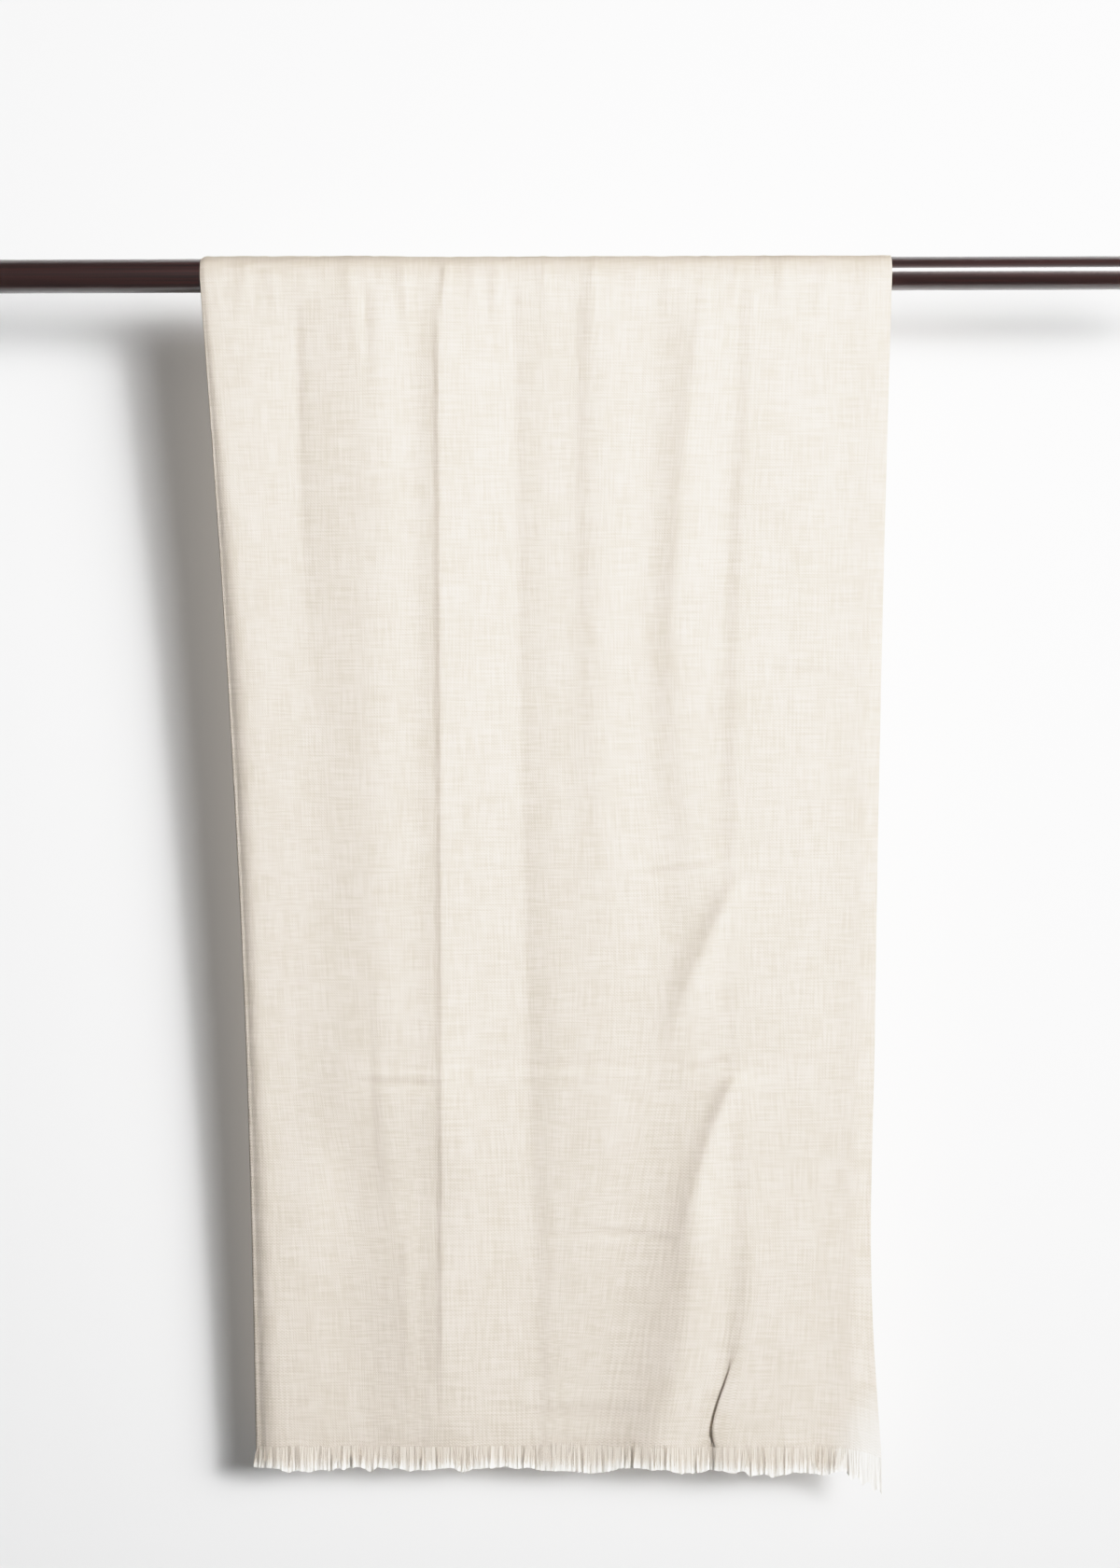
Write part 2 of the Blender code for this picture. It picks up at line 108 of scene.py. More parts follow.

# Fringe: each pair is the least and the most of a random draw, in millimetres unless it says otherwise
VEIL_OUT = 0.15 * MM  # how far the veil hangs outside the middle of the cloth
VEIL_ROWS = 7
PLEAT_SPACING = (1.2, 5.5)
PLEAT_HALF_WIDTH = (0.7, 1.4)
PLEAT_HEIGHT = (-1.9, 1.9)
PLEAT_START = (-0.3, 0.6)  # share of the way down from which a pleat grows
YARN_STEPS = 5
YARN_TURNS = (0.4, 1.3)  # waves in a yarn's length
YARN_SWAY = (0.1, 0.7)
YARN_HEAD = (0.3, 8)  # how far above the hem a yarn starts: the first plus a share of the second
YARN_LENGTH = (0.72, 1.06)  # share of the length of the veil there
YARN_GAUGE = (0.6, 1.25)  # share of the yarn's thickness
YARNS_OUTSIDE = 0.7  # share of the yarns that hang outside the veil

WEAVE_DEPTH = 0.24  # height of the weave against that of the slubs
CLOUD_DEPTH = 0.35  # tone of the broad clouds against that of the slubs
GRAIN_SIZE = (160 * MM, 1.6 * MM)  # length and width of the wood's grain

WALL_HALF, WALL_TOP = 3.0, 1.6  # half its width, and the height of its top
WALL_LEAN = 0.068  # how far it leans back for each metre of height
FLOOR_HALF = 6
ROOM_SEEN = 0.86  # grey that the camera sees past the wall and floor
SENSOR_WIDTH = 36  # millimetres
VIEW_ANGLE = 22.82  # degrees across the sensor, fitted to the photograph with the roll
CAMERA_ROLL = 0.19
CLOTH_FRONT = 15 * MM  # front face of the cloth, from which the camera's distance is taken
CAMERA_HEIGHT = -0.4215
TONE_KNEE = 4.6  # how sharply the bright tones turn over
TONE_RANGE = 2.4  # brightest light that the curve takes


def rows(kind, *table):
    """Entries of one kind, one for each row, whose columns are the kind's fields in order."""
    return tuple(kind(*row) for row in table)


class Line(NamedTuple):
    """A fold down a fall: millimetres across and outwards at each of LEVELS.

    crisp is how sharply it is pressed, from 0, rounded, to 1, straight-sided, and columns is the
    least number of mesh columns from it to the next line.
    """

    name: str
    x: tuple
    out: tuple
    crisp: float = 0.0
    columns: int = 3


class Gather(NamedTuple):
    """A short pucker that hangs from the rail; lean is how far it drifts sideways by its end."""

    x: float
    out: float
    half_width: float
    length: float
    lean: float = 0.0


class Crest(NamedTuple):
    """A fold that comes to a line: the cloth rises ever more steeply to it and falls away slowly past it.

    Its place across is given at its first drop, halfway down and at its last. width is the distance in
    which the rise grows e times; below 0 it is turned round. out below 0 makes a valley of it. tail is
    how many times more slowly it falls away, and rounding is in shares of its width.
    """

    drops: tuple
    x: tuple
    out: tuple  # at the first drop and at the last
    width: tuple
    fade: tuple = (0.15, 0.35)  # shares of its length over which it comes up and dies away
    tail: float = 5
    rounding: float = 0.15


class Press(NamedTuple):
    """A faint crease across a fall, left from folding: a step outwards below it, or inwards if out < 0."""

    from_x: float
    to_x: float
    drop: float
    sag: float  # how much lower its right-hand end is
    out: float
    half_height: float


class Tuft(NamedTuple):
    """A lock of the fringe that hangs lower than the rest."""

    x: float
    longer: float
    half_width: float


class Fall(NamedTuple):
    """One stretch of the cloth, from the ridge over the rail down to its hem."""

    name: str
    side: int  # -1 for the front, +1 for the back
    hem_drop: float
    corner_dip: float  # how much lower the hem is at the selvedge
    overlap: float  # how far the layers of the tuck are carried over each other
    seed: int
    lines: tuple  # from the right-hand selvedge to the left-hand fold
    gathers: tuple
    crests: tuple
    tufts: tuple
    presses: tuple


FRONT = Fall(
    name="front",
    side=-1,
    hem_drop=967,
    corner_dip=12,
    overlap=8,
    seed=3,
    lines=rows(
        Line,
        ("selvedge", (275, 266, 259, 256, 263), (0.4, 0.4, 0.2, 0.2, -0.6)),
        ("edge_ridge", (262, 254, 246, 238, 238), (0.8, 1.2, 1.4, 2.0, 1.8)),
        ("edge_valley", (236, 230, 226, 218, 214), (0.5, 0.7, 1.0, 1.6, 1.4)),
        ("panel_ridge", (202, 194, 190, 186, 178), (1.6, 2.0, 2.2, 2.8, 3.6)),
        ("tuck_ridge", (163, 149, 147, 154, 134), (2.2, 2.9, 2.7, 4.0, 4.6), 0.0, 16),
        ("tuck_valley", (149, 134, 133, 135, 114), (1.0, 0.9, 1.8, 0.8, -0.6)),
        ("strip_ridge", (114, 99, 114, 100, 84), (2.4, 3.0, 1.6, 2.6, 1.8)),
        ("soft_valley", (82, 71, 84, 42, 26), (0.2, 0.2, 0.2, -1.6, -1.8)),
        ("soft_ridge", (38, 30, 34, 14, 0), (2.4, 2.8, 2.4, -1.2, -1.4)),
        ("band_shelf", (4, 2, 2, -6, -10), (0.8, 0.9, 1.4, -1.0, -1.2)),
        ("band_valley", (-34, -30, -26, -20, -19), (-0.2, -0.4, -0.8, -1.6, -1.8), 0.3),
        ("crease_ridge", (-94, -94, -94, -94, -94), (3.0, 3.4, 3.2, 2.4, 1.6), 0.0, 10),
        ("crease_foot", (-106, -106, -106, -106, -106), (2.2, 2.6, 2.6, 1.8, 1.2)),
        ("crease_valley", (-119, -118, -118, -117, -116), (1.2, 1.6, 2.0, 0.8, 0.4)),
        ("left_ridge", (-150, -150, -146, -127, -124), (3.0, 3.8, 3.0, 0.6, 0.2)),
        ("left_valley", (-212, -211, -198, -168, -164), (-0.9, -1.2, -0.8, -2.0, -1.8)),
        ("roll_ridge", (-276, -256, -240, -226, -222), (0.4, 0.5, 0.2, 0.2, 0.2), 0.0, 9),
        ("left_fold", (-295.5, -276, -260.5, -254.5, -253), (0.2, 0.2, 0.2, 0.0, 0.0), 0.0, 3),
    ),
    gathers=rows(
        Gather,
        (-284, 0.8, 4, 40, 6),
        (-276, -1.0, 3.5, 34, 2),
        (-258, 1.2, 5, 70, -8),
        (-236, 0.8, 4, 46, 7),
        (-173, 1.0, 5, 60, 9),
        (-159, -1.8, 4, 130, 1),
        (-128, 1.4, 5, 80, 8),
        (-112, -1.0, 4, 50, 5),
        (-92, 2.0, 4, 44, -5),
        (-70, 0.9, 4, 60, 3),
        (-60, -1.6, 4, 50, 3),
        (-50, 1.2, 4, 60, -4),
        (-35, -1.9, 4, 64, -5),
        (-12, 1.1, 5, 70, 6),
        (28, 1.1, 6, 90, -3),
        (62, 0.9, 5, 50, 5),
        (92, 0.9, 5, 60, -4),
        (112, -1.4, 4, 60, -3),
        (146, 1.0, 4, 46, -5),
        (168, -1.8, 5, 44, -1),
        (184, 1.2, 6, 60, 5),
        (222, 0.9, 6, 50, -6),
        (254, 0.8, 5, 60, 2),
    ),
    crests=rows(
        Crest,
        # Pressed crease down the middle of the left half, groove beside it, and the edge of the middle band
        ((8, 972), (-100, -98.5, -99.5), (2.9, 1.6), (4.6, 3.6), (0.06, 0.12)),
        ((12, 420), (-215, -211, -199), (-3.4, -2.2), (-4.5, -14), (0.12, 0.6)),
        ((10, 950), (-36, -30, -21), (-1.9, -2.6), (-6, -12), (0.08, 0.3)),
        ((8, 560), (17, 17, 28), (-1.4, -1.0), (-4.5, -10), (0.08, 0.5)),
        # Short folds between them
        ((520, 780), (-217, -217, -215), (-0.6, -0.8), (-4, -5), (0.3, 0.3)),
        ((560, 800), (-158, -155, -148), (-1.2, -1.6), (-5, -6), (0.3, 0.3)),
        ((770, 940), (-128, -128, -126), (1.6, 1.8), (7, 8), (0.3, 0.3)),
        # Folds on the left of the tuck: one long, three slanting and four short
        ((10, 480), (120, 94, 86), (1.9, 1.4), (6, 13), (0.1, 0.5)),
        ((498, 664), (146, 107, 78), (10.5, 7.5), (7.5, 12), (0.14, 0.5), 2, 0.6),
        ((654, 850), (146, 110, 98), (11.0, 7.0), (7, 11), (0.1, 0.5), 2, 0.6),
        ((730, 990), (105, 102, 58), (5.5, 13.0), (14, 32), (0.3, 0.02), 5, 0.4),
        ((304, 340), (138, 128, 112), (1.6, 1.0), (4, 8), (0.3, 0.5)),
        ((334, 370), (138, 130, 118), (1.4, 1.0), (4, 8), (0.3, 0.5)),
        ((438, 468), (138, 130, 116), (1.6, 1.0), (4, 8), (0.3, 0.5)),
        ((484, 504), (141, 126, 100), (1.8, 1.0), (6, 10), (0.3, 0.5)),
    ),
    presses=rows(
        Press,
        (140, 236, 324, 5, -0.4, 5),
        (-110, 0, 357, -4, 0.25, 4),
        (-100, 0, 486, 4, -0.25, 4),
        (64, 142, 496, -12, -0.9, 4),
        (-176, -90, 663, 3, -1.0, 4),
        (-210, -70, 715, 0, -3.0, 46),
        (-100, 90, 659, -2, 0.55, 4.5),
        (96, 142, 657, -12, -1.0, 4),
        (160, 252, 644, -3, -0.4, 6),
        (14, 104, 785, 10, -0.7, 4.5),
        (-46, 40, 799, -2, 0.4, 4),
        (-60, 84, 936, -2, -1.2, 7),
        (-250, 10, 960, 0, -1.0, 14),
    ),
    tufts=rows(
        Tuft,
        (-225, 2.5, 2.5),
        (-180, 1.5, 1.5),
        (-157, 2.5, 2.5),
        (-142, 2.0, 4),
        (-4, 2.5, 12),
        (24, 4.0, 7),
        (53, 1.5, 2),
        (98, 2.5, 3),
        (107, 2.5, 2),
        (142, 2.0, 4),
        (154, 6.0, 3),
        (173, 6.5, 4),
        (208, 4.0, 20),
        (238, 9.0, 2.5),
        (247, 10.0, 2.5),
        (256, 13.0, 2.5),
        (266, 22.0, 4),
    ),
)

BACK = Fall(
    name="back",
    side=1,
    hem_drop=955,
    corner_dip=4,
    overlap=0,
    seed=5,
    lines=rows(
        Line,
        ("selvedge", (275, 262, 254, 250, 249), (0.0, 0.4, 0.8, 1.6, 2.4)),
        ("edge_ridge", (258, 248, 240, 236, 234), (0.5, 1.0, 1.8, 3.0, 4.0)),
        ("edge_valley", (214, 206, 202, 204, 206), (-0.3, -0.8, -1.4, -2.4, -3.2)),
        ("right_ridge", (160, 152, 150, 146, 140), (0.6, 1.4, 2.4, 4.0, 5.4)),
        ("right_valley", (96, 92, 88, 78, 70), (-0.5, -1.2, -2.0, -3.6, -4.6), 0.5),
        ("middle_ridge", (30, 34, 30, 18, 10), (0.7, 1.4, 2.2, 3.0, 3.6)),
        ("middle_valley", (-40, -36, -40, -48, -52), (-0.4, -1.0, -1.6, -2.2, -2.8), 0.6),
        ("crease_ridge", (-94, -94, -94, -94, -94), (0.7, 1.0, 1.2, 1.2, 1.0), 0.0, 10),
        ("crease_foot", (-106, -106, -106, -106, -106), (0.6, 0.9, 1.1, 1.1, 0.9)),
        ("left_ridge", (-158, -158, -156, -154, -152), (0.8, 1.2, 1.8, 2.6, 3.4)),
        ("left_valley", (-222, -216, -208, -202, -200), (-0.6, -1.0, -1.4, -1.8, -2.2)),
        ("roll_ridge", (-276, -254, -238, -231, -229), (0.8, 1.0, 1.2, 1.4, 1.6), 0.0, 9),
        ("left_fold", (-295.5, -273, -256, -249.5, -248), (0.4, 0.6, 0.8, 1.0, 1.0), 0.0, 3),
    ),
    gathers=rows(
        Gather,
        (-262, 0.7, 5, 60, 8),
        (-228, -0.7, 4, 110, 3),
        (-190, 1.0, 6, 70, -8),
        (-160, -0.6, 4, 90, 4),
        (-126, 1.1, 6, 85, 6),
        (-88, 0.8, 4, 50, -4),
        (-66, 1.0, 6, 65, -7),
        (-34, -0.8, 4, 150, -3),
        (-6, 1.2, 6, 95, 7),
        (36, 0.6, 5, 60, -5),
        (62, 0.8, 6, 70, 9),
        (96, -0.8, 4, 120, -4),
        (128, 1.1, 6, 80, -6),
        (162, 0.6, 5, 50, 4),
        (188, 0.8, 6, 65, 6),
        (226, 0.6, 5, 55, -7),
    ),
    crests=rows(
        Crest,
        ((8, 968), (-98, -97.5, -96.5), (1.1, 0.7), (4.5, 2.6), (0.08, 0.2)),
        ((520, 800), (-88, -56, -8), (1.8, 1.6), (7, 24), (0.1, 0.4)),
        ((12, 420), (150, 158, 162), (-1.2, -1.0), (6, 14), (0.1, 0.6)),
        ((410, 446), (84, 94, 112), (0.8, 0.5), (-5, -8), (0.3, 0.5)),
        ((352, 384), (-94, -84, -66), (0.7, 0.5), (-5, -8), (0.3, 0.5)),
    ),
    presses=rows(
        Press,
        (-120, 90, 334, 4, 0.18, 4),
        (100, 240, 318, -3, -0.22, 5),
        (-94, 60, 492, -4, -0.25, 5),
        (-190, -98, 640, 4, -0.4, 5),
        (-60, 226, 648, -6, 0.26, 5),
        (-110, 120, 926, 3, -0.7, 11),
    ),
    tufts=rows(
        Tuft,
        (-196, 3.0, 3),
        (-120, 2.0, 8),
        (-46, 4.0, 3),
        (20, 2.5, 10),
        (96, 4.5, 3),
        (182, 2.5, 6),
        (246, 9.0, 5),
    ),
)


# --- Settings ---


def linear(hex_colour):
    """Linear RGB of an sRGB colour written as six hex digits."""
    channels = (int(hex_colour[i : i + 2], 16) / 255 for i in (0, 2, 4))
    return tuple(c / 12.92 if c <= 0.04045 else ((c + 0.055) / 1.055) ** 2.4 for c in channels)


def length_property(name, description, default, low, high):
    """A length that the sidebar can change, from values in millimetres."""
    return FloatProperty(
        name=name, description=description, default=default * MM, min=low * MM, max=high * MM,
        precision=4, subtype="DISTANCE", unit="LENGTH",
    )


def power_property(name, description, default):
    """A lamp's power in watts that the sidebar can change."""
    return FloatProperty(name=name, description=description, default=default, min=0, unit="POWER")


def colour_property(name, description, hex_colour):
    """A colour that the sidebar can change."""
    return FloatVectorProperty(
        name=name, description=description, default=linear(hex_colour), min=0, max=1, size=3,
        subtype="COLOR",
    )


class ClothSettings(PropertyGroup):
    """Sizes and colours of the woven panel."""

    thickness: length_property("Thickness", "Thickness of the cloth", 0.7, 0.3, 1.2)
    column_step: length_property("Column step", "Widest mesh column", 2.9, 2, 20)
    row_step: length_property("Row step", "Mesh row down the fall", 5.4, 3, 30)
    near_step: length_property("Rail row step", "Extra mesh rows near the rail", 7, 2, 20)
    near_height: length_property("Rail row height", "Height of the rows near the rail", 90, 20, 300)
    unevenness: length_property("Unevenness", "Height of the cloth's slight ripple", 0.35, 0, 2)
    slub_width: length_property("Slub width", "Width of a thick place in a thread", 1.5, 0.5, 5)
    slub_length: length_property("Slub length", "Length of a thick place in a thread", 30, 5, 90)
    thread_pitch: length_property("Thread pitch", "Pitch of the weave as drawn", 2.3, 0.4, 4)
    wool: colour_property("Wool", "Cream merino", "E4D9CD")
    wool_shade: colour_property("Slub shade", "Cream merino between thicker threads", "D0C5B5")
    # Painted shade over the top of the rail, for the top's own shade and the dark rail showing through
    over_rail: colour_property("Over the rail", "Merino that the dark rail shows through", "A3937F")
    # Painted light at the frayed corner, for light coming through the thin cloth
    painted_backlight: colour_property("Frayed corner", "Thin merino that light comes through", "FBF8F2")


class FringeSettings(PropertyGroup):
    """Sizes and colours of the eyelash fringe."""

    pitch: length_property("Strand pitch", "Distance between strands", 0.36, 0.2, 5)
    length: length_property("Length", "Length of the loose ends", 18.5, 2, 40)
    unevenness: length_property("Unevenness", "How far the length varies", 2, 0, 5)
    flare: length_property("Flare", "How far the tips stand out", 1, 0, 5)
    yarn: length_property("Yarn", "Thickness of a strand at its root", 0.45, 0.1, 2)
    veil: length_property("Veil", "Thickness of the loose ends together", 0.25, 0.1, 1)
    veil_step: length_property("Veil step", "Mesh column of the veil", 0.8, 0.4, 5)
    wool: colour_property("Wool", "Merino yarn", "E4DACD")
    # Painted light at the thin tips of the veil and at the frayed corner, for light coming through
    painted_tip_light: colour_property("Pale wool", "Tips, which light comes through", "FAF7F1")


class RailSettings(PropertyGroup):
    """Shape and colours of the rail."""

    sides: IntProperty(
        name="Sides", description="Mesh columns round the rail", default=144, min=32, max=256,
    )
    chamfer: length_property("End rounding", "Radius of the rounded ends", 1, 0.2, 6)
    dark: colour_property("Dark grain", "Lacquered wood, darkest", "1A0706")
    light: colour_property("Light grain", "Lacquered wood, lightest", "361411")


class StageSettings(PropertyGroup):
    """Wall, floor, light and camera."""

    distance: length_property("Camera distance", "From the camera to the front fall", 3200, 1000, 8000)
    wall_gap: length_property("Wall gap", "From the rail's axis to the wall", 118, 50, 1000)
    floor_drop: length_property("Floor", "How far the floor is below the rail", 2200, 1100, 3000)
    key_power: power_property("Key light", "Power of the key light", 63)
    boost_power: power_property("Boost", "Power of the narrow key light", 5.0)
    rear_power: power_property("Rear light", "Power of the rear light", 215)
    glint_power: power_property("Glint", "Power of the strip that the lacquer mirrors", 95)
    floor_power: power_property("Floor light", "Power of the light on the floor", 400)
    ambient: FloatProperty(name="Ambient", description="Strength of the room's light", default=0.185, min=0)
    wall: colour_property("Wall", "Matt white wall", "F7F7F7")


# --- Mesh tools ---


def ease(t):
    """0 below t = 0, 1 above t = 1, and half a cosine wave between them."""
    return (1 - np.cos(math.pi * np.clip(t, 0, 1))) / 2


def through(values, drop):
    """Smooth cubic through values, given in millimetres at LEVELS, read at each drop in metres."""
    knots = np.array(LEVELS, float)
    heights = np.array(values, float)
    slopes = np.gradient(heights, knots)
    at = np.clip(drop / MM, knots[0], knots[-1])
    low = np.clip(np.searchsorted(knots, at, side="right") - 1, 0, len(knots) - 2)
    span = knots[low + 1] - knots[low]
    t = (at - knots[low]) / span
    start = (1 + 2 * t) * (1 - t) ** 2 * heights[low] + t * (1 - t) ** 2 * span * slopes[low]
    end = t * t * (3 - 2 * t) * heights[low + 1] - t * t * (1 - t) * span * slopes[low + 1]
    return (start + end) * MM


def ripple(x, drop, size, rng):
    """Smooth random field from -1 to 1: random heights on a lattice size apart, blended by smoothstep."""
    lattice = rng.uniform(-1, 1, (math.ceil(1.2 / size) + 3, math.ceil(1.2 / size) + 3))
    u = (x + 0.6) / size
    v = (drop + 0.1) / size
    i, j = np.floor(u).astype(int), np.floor(v).astype(int)
    s, t = u - i, v - j
    s, t = s * s * (3 - 2 * s), t * t * (3 - 2 * t)
    upper = lattice[i, j] * (1 - s) + lattice[i + 1, j] * s
    lower = lattice[i, j + 1] * (1 - s) + lattice[i + 1, j + 1] * s
    return upper * (1 - t) + lower * t


def faces_between(*corners):
    """Faces from arrays of point numbers, one array for each corner."""
    return np.stack(corners, axis=-1).reshape(-1, len(corners))


def shell_faces(outer, inner):
    """Faces of two grids of point numbers, back to back, with the rims at their first and last rows."""
    return np.concatenate((
        faces_between(outer[:-1, :-1], outer[:-1, 1:], outer[1:, 1:], outer[1:, :-1]),
        faces_between(inner[:-1, :-1], inner[1:, :-1], inner[1:, 1:], inner[:-1, 1:]),
        faces_between(outer[0, 1:], outer[0, :-1], inner[0, :-1], inner[0, 1:]),
        faces_between(outer[-1, :-1], outer[-1, 1:], inner[-1, 1:], inner[-1, :-1]),
    ))


def outwards(points, faces):
    """The faces, all turned over if the closed mesh that they make is inside out."""
    volume = 0.0
    for group in faces:
        corner = points[group[:, 0]]
        for k in range(1, group.shape[1] - 1):
            volume += np.einsum("ij,ij->", corner, np.cross(points[group[:, k]], points[group[:, k + 1]]))
    return [group[:, ::-1] for group in faces] if volume < 0 else faces


def build_mesh(name, points, faces, uv):
    """Mesh of faces in groups of equal corner counts, with a UV place for each point, smooth-shaded."""
    faces = outwards(points, faces)
    corners = np.concatenate([group.ravel() for group in faces])
    sizes = np.concatenate([np.full(len(group), group.shape[1]) for group in faces])
    mesh = bpy.data.meshes.new(name)
    mesh.vertices.add(len(points))
    mesh.vertices.foreach_set("co", points.astype(np.float32).ravel())
    mesh.loops.add(len(corners))
    mesh.loops.foreach_set("vertex_index", corners.astype(np.int32))
    mesh.polygons.add(len(sizes))
    mesh.polygons.foreach_set("loop_start", (np.cumsum(sizes) - sizes).astype(np.int32))
    mesh.update(calc_edges=True)
    mesh.uv_layers.new(name="UVMap")
    mesh.uv_layers[0].data.foreach_set("uv", uv[corners].astype(np.float32).ravel())
    mesh.shade_smooth()
    mesh.set_sharp_from_angle(angle=SHARP_FROM)
    return mesh


def add_piece(name, mesh, material, node):
    """Put a mesh in the scene as a piece that rides on the one body and stands for a CAD node."""
    mesh.materials.append(material)
    piece = bpy.data.objects.new(name, mesh)
    bpy.context.scene.collection.objects.link(piece)
    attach(piece, "root")
    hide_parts(node)
    return piece


# --- Cloth ---


def row_drops(fall, cloth, radius):
    """Drops of the rows of a fall: over the rail and down to the hem, closer together at each crease across.

    Below the rail the row number is the running sum of 1 / step, where the step is the least of the
    fall's own, a smaller one under the rail, and half a crease's height near the crease.
    """
    over_rail = np.linspace(-radius * math.pi / 2, 0, ROWS_OVER_RAIL + 1)[:-1]
    fine = np.linspace(0, fall.hem_drop * MM, 4001)
    density = 1 / cloth.row_step + np.exp(-((fine / cloth.near_height) ** 2)) / cloth.near_step
    for press in fall.presses:
        half_height = press.half_height * MM
        bell = np.exp(-(((fine - (press.drop + press.sag / 2) * MM) / (2 * half_height)) ** 2))
        density = np.maximum(density, 2 * bell / half_height)
    rows_above = np.concatenate(([0.0], np.cumsum((density[1:] + density[:-1]) / 2 * np.diff(fine))))
    count = 2 * round(rows_above[-1] / 2)
    below_rail = np.interp(np.linspace(0, rows_above[-1], count + 1), rows_above, fine)
    return np.concatenate((over_rail, below_rail))


def panel_columns(fall, step):
    """Columns of the panel, each as the line to its right and its share of the way to the next line."""
    widths = np.array([a.x[0] - b.x[0] for a, b in zip(fall.lines, fall.lines[1:])]) * MM
    least = np.array([line.columns for line in fall.lines[:-1]])
    counts = np.maximum(least, np.ceil(widths / step).astype(int))
    line_at = np.repeat(np.arange(len(counts)), counts)
    first = np.repeat(np.cumsum(counts) - counts, counts)
    share = (np.arange(len(line_at)) - first) / np.repeat(counts, counts)
    return np.append(line_at, len(counts) - 1), np.append(share, 1.0)


def gather_height(fall, x, drop):
    """Puckers under the rail: a bell across each, fading down its length, and drifting sideways."""
    height = np.zeros_like(x)
    for gather in fall.gathers:
        length = gather.length * MM
        middle = gather.x + gather.lean * np.clip(drop / length, 0, 1)
        across = np.exp(-(((x / MM - middle) / gather.half_width) ** 2))
        if gather.out > 0:
            rise = ease(1 + drop / GATHERS_RISE_OVER)
        else:
            rise = ease((drop - GROOVES_START) / GROOVES_RISE_OVER)
        height += gather.out * MM * across * (1 - ease(drop / length)) * rise
    return height


def crest_height(fall, x, drop):
    """Folds that come to a line, which runs down the fall on a parabola.

    With a for the distance past the line over the width, the height is e to the power a on the way up,
    and e to the power -a / tail beyond; a hyperbola joins the two powers.
    """
    height = np.zeros_like(x)
    for crest in fall.crests:
        lean = (1 - 1 / crest.tail) / 2
        share = (drop / MM - crest.drops[0]) / (crest.drops[1] - crest.drops[0])
        at = np.clip(share, 0, 1)
        first, halfway, last = crest.x
        line = first * (1 - at) * (1 - 2 * at) + 4 * halfway * at * (1 - at) + last * at * (2 * at - 1)
        away = (x / MM - line) / (crest.width[0] * (1 - at) + crest.width[1] * at)
        shape = np.exp(lean * away - (1 - lean) * np.hypot(away, crest.rounding))
        fade = ease(share / crest.fade[0]) * ease((1 - share) / crest.fade[1])
        height += (crest.out[0] * (1 - at) + crest.out[1] * at) * MM * shape * fade
    return height


def press_height(fall, x, drop):
    """Creases across the fall: down times a bell about each line, fading at both its ends."""
    height = np.zeros_like(x)
    for press in fall.presses:
        share = (x / MM - press.from_x) / (press.to_x - press.from_x)
        down = (drop / MM - press.drop - press.sag * share) / press.half_height
        fade = ease(share / PRESS_FADES_OVER) * ease((1 - share) / PRESS_FADES_OVER)
        height += press.out * MM * down * np.exp((1 - down**2) / 2) * fade
    return height


